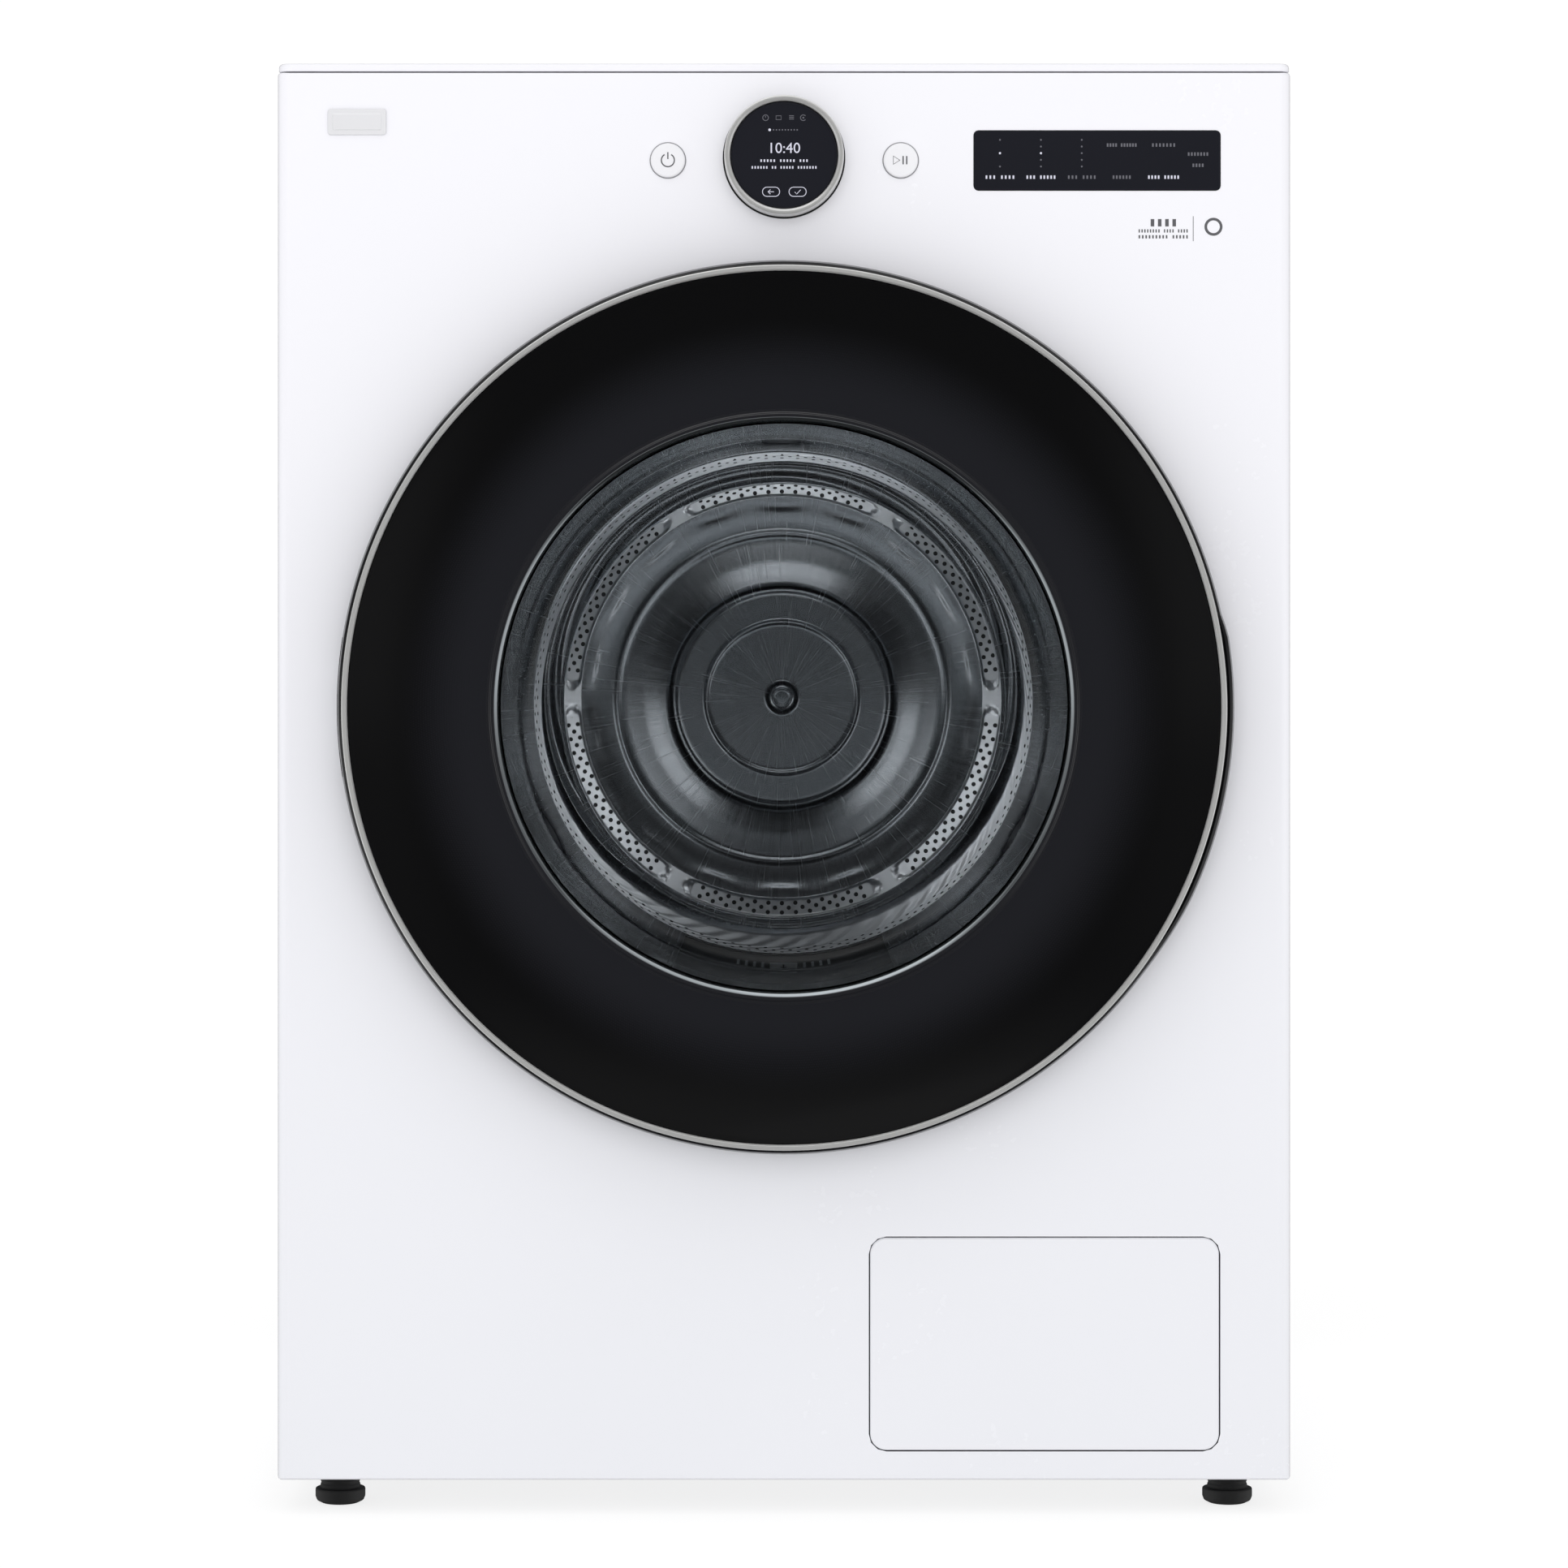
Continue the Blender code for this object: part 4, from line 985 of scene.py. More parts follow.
class DRYER_OT_rear(bpy.types.Operator):
    """Galvanised back: pressed fields, louvre hoods, screws, bearing cover and the blank plate"""

    bl_idname = "dryer.rear"
    bl_label = "Rear"

    def execute(self, context):
        looks = slot_materials()
        zinc, black = looks["zinc_sheet"], looks["black_plastic"]
        refined("rear_panel", zinc)
        sheet = REAR - 0.0001
        fields = [
            pressing((0.0, 0.815), (0.56, 0.20), 0.03, sheet, 0.0018, 0.012),
            pressing((-0.235, AXIS[1]), (0.13, 0.24), 0.03, sheet, 0.0018, 0.012),
            pressing((0.235, AXIS[1]), (0.13, 0.24), 0.03, sheet, 0.0018, 0.012),
            pressing((0.02, 0.330), (0.30, 0.09), 0.03, sheet, 0.0018, 0.012),
        ]
        make_piece("rear_pressings", fields, zinc, "cabinet")
        hoods = [
            pressing((0.16, 0.0812 + 0.016 * row), (0.148, 0.0075), 0.003, sheet, 0.0042, 0.003)
            for row in range(6)
        ]
        make_piece("louvre_hoods", hoods, zinc, "cabinet")
        cover = [
            (0, 0.3783), (0.115, 0.3783), (0.1148, 0.3796), (0.110, 0.3800), (0.100, 0.3801), (0.096, 0.3814),
            (0.070, 0.3816), (0.066, 0.3803), (0.034, 0.3803), (0.030, 0.3816), (0, 0.3817),
        ]
        make_piece(
            "bearing_cover", [
                turned(fillet(cover, 0.002), AXIS)
            ], zinc, "cabinet", ["rear_cover"]
        )
        rows = np.linspace(0.05, 0.95, 6)
        places = [(side * 0.332, REAR, height) for side in (-1, 1) for height in rows]
        places += [(across, REAR, 0.968) for across in (-0.2, -0.07, 0.07, 0.2)]
        spokes = np.radians(np.arange(6) * 60 + 30)
        ring = [(0.104 * math.cos(a) + AXIS[0], REAR + 0.0021, 0.104 * math.sin(a) + AXIS[1]) for a in spokes]
        corners = [(-0.225 + x, REAR + 0.0079, 0.195 + z) for x in (-0.038, 0.038) for z in (-0.028, 0.033)]
        places = places + ring + corners
        head = fillet(
            [(0, -0.0002), (0.0042, -0.0002), (0.0042, 0.0008), (0.003, 0.0020), (0, 0.0023)], 0.0008
        )
        screw = turned(head, (0, 0), round_steps(24))
        make_piece("rear_screws", [repeated(screw, places)], looks["steel"], "cabinet")
        bars = [
            cuboid((-0.0024, 0.0021, -0.0004), (0.0024, 0.00245, 0.0004)),
            cuboid((-0.0004, 0.0021, -0.0024), (0.0004, 0.00245, 0.0024)),
        ]
        make_piece(
            "rear_screw_crosses", [repeated(bar, places) for bar in bars], black, "cabinet",
        )
        blank = soft_plate((0.215, 0.245), (0.085, 0.045), 0.003, REAR - 0.0001, REAR + 0.0006, 0.0003)
        make_piece("blank_plate", [blank], looks["satin_silver"], "cabinet")
        refined("terminal_cover", black, bevel=0.0006)
        ribs = [
            soft_plate((-0.225, 0.195 + step), (0.055, 0.003), 0.0014, 0.3858, 0.3868, 0.0006)
            for step in (-0.008, 0.0, 0.008, 0.016)
        ]
        make_piece("terminal_ribs", ribs, black, "cabinet")
        port = [
            (0.006, 0.370), (0.0105, 0.370), (0.0105, 0.3783), (0.016, 0.3783), (0.016, 0.3800),
            (0.0095, 0.3806), (0.0102, 0.3825), (0.0094, 0.3835), (0.0102, 0.3848), (0.0090, 0.386),
            (0.006, 0.386),
        ]
        spot = middle("drain_port")[[0, 2]]
        made = turned(fillet(port, 0.0006, closed=True), spot, round_steps(64), closed=True)
        make_piece("drain_spout", [made], looks["grey_plastic"], "cabinet", ["drain_port"])
        return {"FINISHED"}


class DRYER_OT_insides(bpy.types.Operator):
    """Everything behind the sheets: bulkheads, drive, heat pump, ducts and board, each with its own finish"""

    bl_idname = "dryer.insides"
    bl_label = "Insides"

    def execute(self, context):
        looks = slot_materials()
        shown = {piece.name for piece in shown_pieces()}
        for node in sorted(set(frame["nodes"]) & shown):
            slot = SLOT_OF[node]
            refined(node, looks[slot], bevel=0.0003 if slot in ("steel", "grey_plastic") else 0.0)
        return {"FINISHED"}


# Door


HINGE_HALF_ANGLE = math.radians(9.0)


def door_angles():
    """Even steps, with a close pair at each end of the space for the hinge."""
    extra = [math.pi + side * (HINGE_HALF_ANGLE + gap) for side in (-1, 1) for gap in (-0.0004, 0.0004)]
    return np.sort(np.concatenate([round_steps(), extra]))


def at_hinge(angle):
    return np.abs(angle - math.pi) < HINGE_HALF_ANGLE


def rise(value, start, end):
    """0 before start, 1 after end, and 3s^2 - 2s^3 between."""
    share = np.clip((value - start) / (end - start), 0.0, 1.0)
    return share**2 * (3 - 2 * share)


def rim_shape(radius, depth, angle):
    """The wall is cut away behind the hinge side, and swells a little at the hand grip."""
    depth = np.where(at_hinge(angle), np.minimum(depth, -0.3673), depth)
    signed = np.degrees((angle + math.pi) % (2 * math.pi) - math.pi)
    swell = rise(signed, -38.0, -24.0) * (1 - rise(signed, 9.0, 12.5))
    return radius + 0.0021 * swell * rise(radius, 0.2945, 0.2965), depth


def back_shape(radius, depth, angle):
    return np.where(at_hinge(angle), np.minimum(radius, 0.2784), radius), depth


def dish_depth(radius):
    """Parabola from the ring down to the window."""
    return -0.351 - 0.034 * ((radius - 0.1955) / 0.0956) ** 2


class DRYER_OT_door(bpy.types.Operator):
    """Lacquered rim, silver ring, dished surround, thick glass bowl, back plate, hinge arm and hook"""

    bl_idname = "dryer.door"
    bl_label = "Door"

    def execute(self, context):
        looks, edge = slot_materials(), context.scene.dryer_door.edge
        rim = [
            (0.2968, -0.3465), (0.2985, -0.3465), (0.3000, -0.3480), (0.3000, -0.3665), (0.2985, -0.3722),
            (0.2962, -0.3745), (0.2960, -0.3712), (0.2900, -0.3712), (0.2900, -0.3692), (0.2968, -0.3692),
        ]
        shape = turned(fillet(rim, edge, closed=True), AXIS, door_angles(), True, rim_shape)
        make_piece("door_rim", [shape], looks["black_gloss"], "door", ["door_frame"])
        trim = [
            (0.2916, -0.3716), (0.2955, -0.3716), (0.2955, DOOR_FRONT + 0.0006), (0.2949, DOOR_FRONT),
            (0.2926, DOOR_FRONT + 0.0001), (0.2920, DOOR_FRONT + 0.0010), (0.2916, DOOR_FRONT + 0.0016),
        ]
        shape = turned(fillet(trim, edge / 3, closed=True), AXIS, round_steps(360), True)
        make_piece("silver_ring", [shape], looks["satin_silver"], "door", ["door_trim_ring"])
        radii = np.linspace(0.2885, 0.2010, 60)
        wall = 0.0028
        front = [(0.2911, -0.3842), (0.2909, -0.3846), *zip(radii, dish_depth(radii))]
        lip = fillet(
            [(0.2010, dish_depth(0.2010)), (0.1988, -0.3514), (0.1978, -0.3525), (0.1958, -0.3525),
             (0.1938, -0.3513), (0.1924, -0.3497), (0.1922, -0.3482)], 0.0008,
        )
        inner = radii[:3:-6]
        back = [*zip(inner, dish_depth(inner) + wall), (0.2880, dish_depth(0.2880) + wall)]
        profile = [*front, *lip[1:], *back, (0.2880, -0.3716), (0.2911, -0.3716)]
        shape = turned(profile, AXIS, round_steps(360), True)
        make_piece("door_surround", [shape], dish_black(), "door", ["door_dish"], angle=40)
        outside = fillet(
            [(0.2005, -0.3477), (0.2005, -0.3449), (0.1955, -0.3449), (0.1870, -0.2620), (0.1800, -0.2525),
             (0.1620, -0.2475), (0.0900, -0.2440), (0.0, -0.2430)], 0.006, steps=8,
        )
        inside = fillet(
            [(0.0, -0.2470), (0.0900, -0.2480), (0.1605, -0.2515), (0.1765, -0.2560), (0.1830, -0.2640),
             (0.1912, -0.3477)], 0.010, steps=10,
        )
        shape = turned(np.concatenate([outside, inside, outside[:1]]), AXIS, round_steps(300))
        make_piece(
            "glass_bowl", [shape], looks["smoked_glass"], "door", ["door_bowl"], angle=50
        )
        back_plate = [
            (0.2012, -0.3465), (0.2955, -0.3465), (0.2962, -0.3458), (0.2962, -0.3440), (0.2300, -0.3440),
            (0.2290, -0.3434), (0.2100, -0.3434), (0.2065, -0.3420), (0.2055, -0.3120), (0.2012, -0.3120),
        ]
        shape = turned(fillet(back_plate, 0.0006, closed=True), AXIS, door_angles(), True, back_shape)
        make_piece("door_back", [shape], looks["black_plastic"], "door", ["door_back_frame"])
        turns = np.radians([40, 75, 105, 140, 220, 255, 285, 320])
        places = [(0.262 * math.cos(a) + AXIS[0], -0.3441, 0.262 * math.sin(a) + AXIS[1]) for a in turns]
        head = fillet(
            [(0, -0.0003), (0.0040, -0.0003), (0.0040, 0.0006), (0.0028, 0.0014), (0, 0.0016)], 0.0006
        )
        screws = [repeated(turned(head, (0, 0), round_steps(20)), places)]
        make_piece("door_screws", screws, looks["steel"], "door")
        lip, neck = 0.218, 0.221
        seal = [
            (lip, -0.3435), (0.229, -0.3435), (0.229, -0.3413), (neck, -0.3413), (neck, -0.3397),
            (0.227, -0.3397), (0.227, -0.3375), (lip, -0.3375),
        ]
        shape = turned(fillet(seal, 0.0007, closed=True), AXIS, closed=True)
        make_piece("opening_seal", [shape], looks["rubber"], "cabinet", ["door_gasket"])
        for node in ("door_hinge_arm", "door_striker", "door_hinge_bracket"):
            refined(node, looks["zinc_sheet"], bevel=0.0004)
        return {"FINISHED"}


# Drum


ARC_INNER, ARC_OUTER = 0.1632, 0.1778
ARC_HALF = math.radians(24.5)


def drum_back_profile():
    """Hub, step, hollow ring and rim of the drum's back: (radius, y) with close rows where it changes."""
    base = fillet(
        [(0, 0.2790), (0.0100, 0.2793), (0.0118, 0.2815), (0.0124, 0.2850), (0.0840, 0.2850), (0.0862, 0.2860),
         (0.0885, 0.2860), (0.0915, 0.2895), (0.1000, 0.29078), (0.1100, 0.29184), (0.1280, 0.2926),
         (0.1440, 0.2916), (0.1500, 0.2905), (0.1560, 0.2886), (0.1600, 0.2880), (0.2200, 0.2880),
         (0.3158, 0.2940)],
        0.003, steps=6,
    )
    radii = np.unique(np.concatenate([
        base[:, 0], np.linspace(0.004, 0.014, 12), np.linspace(0.056, 0.066, 12),
        np.linspace(0.082, 0.160, 50), np.linspace(0.160, 0.220, 92), np.linspace(0.22, 0.3158, 10),
    ]))
    depth = np.interp(radii, base[:, 0], base[:, 1])
    for centre, width, height in (
        (0.0072, 0.0006, -0.0006), (0.0610, 0.0016, -0.0010), (0.1330, 0.0022, -0.0010),
        (0.1822, 0.0010, -0.0011), (0.1868, 0.0010, -0.0011), (0.1912, 0.0010, -0.0011),
    ):
        depth = depth + height * np.exp(-(((radii - centre) / width) ** 2))
    band = rise(radii, 0.1930, 0.1950) * (1 - rise(radii, 0.2170, 0.2200))
    depth = depth + band * (0.0008 + 0.010 * (radii - 0.1930))
    field = rise(radii, 0.1600, 0.1625) * (1 - rise(radii, 0.1790, 0.1810))
    depth = depth + field * 0.044 * (radii - 0.1632)
    return np.stack((radii, depth), axis=-1)


def drum_back_relief(radius, depth, angle):
    """Air arcs are sunk fields with rounded ends; the lip beside the hollow waves gently round."""
    count = bpy.context.scene.dryer_drum.arcs
    pitch = 2 * math.pi / count
    offset = (angle - math.pi / 2 + pitch / 2) % pitch - pitch / 2
    middle_radius, half = (ARC_INNER + ARC_OUTER) / 2, (ARC_OUTER - ARC_INNER) / 2
    past_end = np.maximum(np.abs(offset) - ARC_HALF, 0) * middle_radius
    away = np.hypot(radius - middle_radius, past_end + 0 * radius) - half
    depth = depth + 0.0012 * (1 - rise(away, -0.0010, 0.0006)) - 0.0005 * np.exp(-((away / 0.0009) ** 2))
    ripple = 0.0011 * np.cos(18 * angle) * np.exp(-(((radius - 0.156) / 0.004) ** 2))
    scallop = 0.00016 * np.cos(60 * angle + 900 * radius) * rise(radius, 0.194, 0.198) * (
        1 - rise(radius, 0.213, 0.217)
    )
    return radius + ripple, depth + scallop


def arc_hole_places():
    """Three staggered rows of air holes in each arc."""
    count = bpy.context.scene.dryer_drum.arcs
    places = []
    for number in range(count):
        centre = math.pi / 2 + 2 * math.pi * number / count
        for row, radius in enumerate((0.1667, 0.1705, 0.1743)):
            turn = centre + np.radians(np.arange(13 - row % 2) - (12 - row % 2) / 2) * 3.75
            places.append(np.stack(
                (AXIS[0] + radius * np.cos(turn), 0 * turn + 0.2892 + 0.044 * (radius - 0.1632),
                 AXIS[1] + radius * np.sin(turn)), -1,
            ))
    return np.concatenate(places)


def band_hole_places():
    """Staggered rows of fine holes in the outer band."""
    places = []
    for row, radius in enumerate((0.2045, 0.2095, 0.2145)):
        turn = (np.arange(96) + row % 2 / 2) * 2 * math.pi / 96
        depth = 0.2888 + 0.010 * (radius - 0.1930)
        places.append(
            np.stack((AXIS[0] + radius * np.cos(turn), 0 * turn + depth, AXIS[1] + radius * np.sin(turn)), -1)
        )
    return np.concatenate(places)


def lifter_shape(angle):
    """Paddle on the shell: its section is carried along y, its height falling smoothly at both ends."""
    outline = fillet(
        [
            (-0.034, -0.0006), (-0.026, 0.013), (-0.0105, 0.0485), (0.0105, 0.0485), (0.026, 0.013),
            (0.034, -0.0006)
        ],
        0.012, steps=8,
    )
    along = np.linspace(-0.247, 0.257, 64)
    share = 0.30 + 0.70 * rise(along, -0.247, -0.200) * (1 - rise(along, 0.208, 0.257))
    reach = 0.3142 - outline[None, :, 1] * share[:, None]
    across = outline[None, :, 0] * (0.6 + 0.4 * share[:, None])
    level = np.repeat(along[:, None], len(outline), axis=1)
    way = np.array([math.cos(angle), math.sin(angle)])
    flat = np.stack((way[0] * reach - way[1] * across, level, way[1] * reach + way[0] * across), axis=-1)
    ends = np.repeat(flat.mean(axis=1)[[0, -1]][:, None], len(outline), axis=1)
    grid = np.concatenate([ends[:1], flat, ends[1:]]) + np.array([AXIS[0], 0, AXIS[1]])
    return grid.reshape(-1, 3), grid_quads(len(grid), len(outline))


def swept_arc(profile, start, end, count=48):
    """Closed section of (radius, y) swept through part of a turn about the drum's axis, its ends closed."""
    section = np.asarray(profile, float)
    angle = np.radians(np.linspace(start, end, count))[:, None]
    grid = np.stack((
        AXIS[0] + section[:, 0] * np.cos(angle), section[:, 1] + 0 * angle,
        AXIS[1] + section[:, 0] * np.sin(angle),
    ), axis=-1)
    ends = np.repeat(grid.mean(axis=1)[[0, -1]][:, None], len(section), axis=1)
    grid = np.concatenate([ends[:1], grid, ends[1:]])
    return grid.reshape(-1, 3), grid_quads(len(grid), len(section))


class DRYER_OT_drum(bpy.types.Operator):
    """Steel shell with rolled beads, pressed back with its air holes, three paddles and lint filter"""

    bl_idname = "dryer.drum"
    bl_label = "Drum"

    def execute(self, context):
        looks = slot_materials()
        steel = drum_steel("drum steel", False)
        outer, thick = DRUM_RADIUS, 0.0010
        beads = [
            point
            for y in (-0.205, -0.160, 0.130, 0.200, 0.250)
            for point in ((outer, y - 0.006), (outer - 0.0022, y), (outer, y + 0.006))
        ]
        wall = [(outer, -0.2760), *beads, (outer, 0.2990)]
        inner = [(radius - thick, depth) for radius, depth in wall[::-1]]
        lip = [
            (0.3142, -0.2842), (0.3077, -0.2878), (0.2260, -0.2885), (0.2260, -0.2895), (0.3080, -0.2888),
            (0.3150, -0.2850)
        ]
        shape = turned(fillet(wall + inner + lip, 0.003, closed=True), AXIS, closed=True)
        make_piece("drum_wall", [shape], steel, "drum", ["drum_shell"])
        front = drum_back_profile()
        edge = front[-1]
        behind = [edge, edge + [0, 0.0010], (0.2200, 0.2925), (0.1600, 0.2925), (0.1500, 0.2975), (0.1280, 0.2990),
                  (0.0920, 0.2945), (0.0870, 0.2885), (0, 0.2880)]
        shapes = [
            turned(front, AXIS, round_steps(432), adjust=drum_back_relief),
            turned(behind, AXIS, round_steps(432))
        ]
        make_piece(
            "drum_end", shapes, drum_steel("drum end steel", True), "drum", ["drum_back"],
            angle=60
        )
        hole = context.scene.dryer_drum.hole
        dark = looks["black_plastic"]
        # Painted shade: the air holes are not cut; black discs stand for the dark space behind each hole.
        made = repeated(disc((0, 0), hole, 0.0002, -0.0002, 12), arc_hole_places())
        make_piece("air_holes", [made], dark, "drum")
        made = repeated(disc((0, 0), hole * 0.95, 0.0006, -0.0003, 12), band_hole_places())
        make_piece("band_holes", [made], dark, "drum")
        for number, angle in enumerate((90, 210, 330), start=1):
            node = f"drum_lifter_{number}"
            shape = lifter_shape(math.radians(angle))
            make_piece(
                f"paddle_{number}", [shape], looks["grey_plastic"], "drum", [node], angle=50
            )
        section = fillet(
            [(0.2000, -0.3080), (0.2130, -0.3080), (0.2130, -0.2150), (0.1770, -0.2150), (0.1770, -0.2250),
             (0.2000, -0.2340)], 0.0012, closed=True,
        )
        make_piece(
            "filter_body", [swept_arc(section, 247, 293)], dark, "cabinet", ["lint_filter"]
        )
        vents = [
            swept_arc(
                [(0.1830, -0.2275), (0.1895, -0.2300), (0.1895, -0.2312), (0.1830, -0.2287)], turn - 0.3,
                turn + 0.3, 4
            )
            for turn in (260.0, 261.8, 263.6, 265.4, 274.6, 276.4, 278.2, 280.0)
        ]
        make_piece("filter_vents", vents, looks["grey_plastic"], "cabinet")
        foot, level = AXIS[1] - 0.1868, -0.2312
        label = soft_plate((0.0, foot), (0.0195, 0.0085), 0.0008, level + 0.0030, level, 0.0003)
        make_piece("filter_label", [label], grained("label grey", (0.34, 0.35, 0.36), 0.5), "cabinet")
        arrows = [
            ribbon([(0.0, foot + 0.0030), (0.0, foot - 0.0022)], 0.0011, level + 0.0003, level - 0.0002),
            ribbon([(-0.0022, foot - 0.0006), (0.0, foot - 0.0030), (0.0022, foot - 0.0006)], 0.0009, level + 0.0003,
                   level - 0.0002),
        ]
        make_piece("filter_arrow", arrows, dark, "cabinet")
        return {"FINISHED"}


# Controls


def circle(centre, radius, count=40):
    return arc(centre, radius, 0, 360 - 360 / count, count)


def capsule(centre, width, height, count=10):
    """Outline of a round-ended frame, as a closed path."""
    path = rounded_outline(width, height, height / 2 * 0.98, count)
    return path + np.asarray(centre)


class DRYER_OT_dial(bpy.types.Operator):
    """Satin ring that turns round a fixed black display with generic figures and symbols"""

    bl_idname = "dryer.dial"
    bl_label = "Dial"

    def execute(self, context):
        looks = slot_materials()
        ring = [
            (0.0363, -0.3416), (0.0403, -0.3416), (0.0403, -0.3596), (0.0398, -0.3611), (0.0385, -0.3615),
            (0.0372, -0.3610), (0.0363, -0.3600),
        ]
        shape = turned(fillet(ring, 0.0006, closed=True), DIAL, closed=True)
        make_piece(
            "dial_grip", [shape], satin_silver(DIAL, "satin silver dial"), "dial", ["dial_ring"],
        )
        face = [
            (0, -0.3592), (0.0335, -0.3592), (0.0352, -0.3590), (0.0359, -0.3583), (0.0359, -0.3416),
            (0.026, -0.3416),
            (0.026, -0.333), (0, -0.333),
        ]
        make_piece(
            "dial_face", [
                turned(fillet(face, 0.0006), DIAL)
            ], display_glass(), "cabinet", ["dial_display"]
        )
        # Painted shade: a black ring in the gap round the dial, where the gap falls into shade.
        gap = turned(
            [(0.0414, -0.3405), (0.0414, -0.34125), (0.0380, -0.34125), (0.0380, -0.3405)], DIAL, closed=True
        )
        make_piece("dial_gap", [gap], looks["black_plastic"], "cabinet")
        self.figures(context)
        return {"FINISHED"}

    def figures(self, context):
        tone = tuple(context.scene.dryer_paint.lit)
        bright, dim = lit("bright figures", tone, 0.85), lit("dim figures", tone, 0.16)
        x, z = DIAL
        level, face = -0.3593, -0.3591
        stroke = 0.00045

        def line(points, width=stroke, closed=False):
            return ribbon(np.asarray(points) + [x, z], width, face, level, closed)

        strong = [lettering("10:40", 0.0100, (x, face, z + 0.0042), thick=0.0002)]
        strong += [disc((x - 0.0097, z + 0.01675), 0.0009, face, level)]
        strong += [block_words((5, 5, 3), (x, z - 0.00397), 0.00220, (0.00105, 0.00170), face, level)]
        strong += [block_words((6, 2, 5, 7), (x, z - 0.00850), 0.00194, (0.00095, 0.00170), face, level)]
        strong += [line(capsule((-0.00876, -0.02488), 0.0115, 0.0062), closed=True)]
        strong += [line(capsule((0.00911, -0.02488), 0.0115, 0.0062), closed=True)]
        strong += [
            line([(-0.0108, -0.0249), (-0.0068, -0.0249)]),
            line([(-0.0092, -0.0234), (-0.0108, -0.0249), (-0.0092, -0.0264)])
        ]
        strong += [line([(0.0072, -0.0250), (0.0085, -0.0264), (0.0111, -0.0236)])]
        make_piece("dial_bright_figures", strong, bright, "cabinet")
        faint = [disc((x - 0.0071 + 0.00199 * step, z + 0.01675), 0.00050, face, level) for step in range(9)]
        faint += [
            line(circle((-0.01244, 0.0249), 0.0019), closed=True),
            line([(-0.01244, 0.0249), (-0.01244, 0.0261)])
        ]
        faint += [
            line([(-0.0054, 0.0236), (-0.0054, 0.0262), (-0.0020, 0.0262), (-0.0020, 0.0236)], closed=True)
        ]
        faint += [
            line([(0.0034, 0.0240 + 0.0011 * row), (0.0066, 0.0240 + 0.0011 * row)]) for row in range(3)
        ]
        faint += [
            line(arc((0.01293, 0.0249), 0.0019, 40, 320)),
            disc((x + 0.01293, z + 0.0249), 0.0006, face, level)
        ]
        make_piece("dial_faint_figures", faint, dim, "cabinet")


class DRYER_OT_buttons(bpy.types.Operator):
    """White push buttons, each with a thin ring of painted grey shade in the gap round it: power, and play or pause
    """

    bl_idname = "dryer.buttons"
    bl_label = "Buttons"

    def execute(self, context):
        looks = slot_materials()
        ink = grained("symbol ink", tuple(context.scene.dryer_paint.symbol), 0.5, scale=900.0)
        grey = grained("thin grey ring", (0.30, 0.30, 0.32), 0.5, scale=900.0)
        cap = low("power_button")[1]
        for body in ("power_button", "start_button"):
            place = middle(body)[[0, 2]]
            profile = [
                (0, cap), (0.0104, cap), (0.0113, cap + 0.0003), (0.0117, cap + 0.0010), (0.0117, -0.3396),
                (0.0130, -0.3396),
                (0.0130, -0.3386), (0.004, -0.3386), (0.004, -0.3330), (0, -0.3330),
            ]
            make_piece(
                f"{body}_cap", [turned(fillet(profile, 0.0004), place)], looks["white_plastic"], body, [body],
            )
            # Painted shade: a thin ring of grey in the gap round the button, where the gap falls into shade.
            rim = [(0.01235, -0.3405), (0.01235, -0.34125), (0.0118, -0.34125), (0.0118, -0.3405)]
            make_piece(f"{body}_ring", [turned(rim, place, closed=True)], grey, "cabinet")
            back, front = cap + 0.0002, cap - 0.0001
            if body == "power_button":
                marks = [
                    ribbon(arc(place, 0.0044, 120, 420), 0.0008, back, front),
                    ribbon([place + [0, 0.0008], place + [0, 0.0054]], 0.0008, back, front),
                ]
            else:
                wedge = np.array([(-0.0050, 0.0028), (-0.0050, -0.0028), (-0.0006, 0.0)]) + place
                marks = [
                    ribbon(wedge, 0.0006, back, front, closed=True),
                    ribbon([place + [0.0016, 0.0028], place + [0.0016, -0.0028]], 0.0009, back, front),
                    ribbon([place + [0.0040, 0.0028], place + [0.0040, -0.0028]], 0.0009, back, front),
                ]
            make_piece(f"{body}_symbol", marks, ink, body)
        return {"FINISHED"}


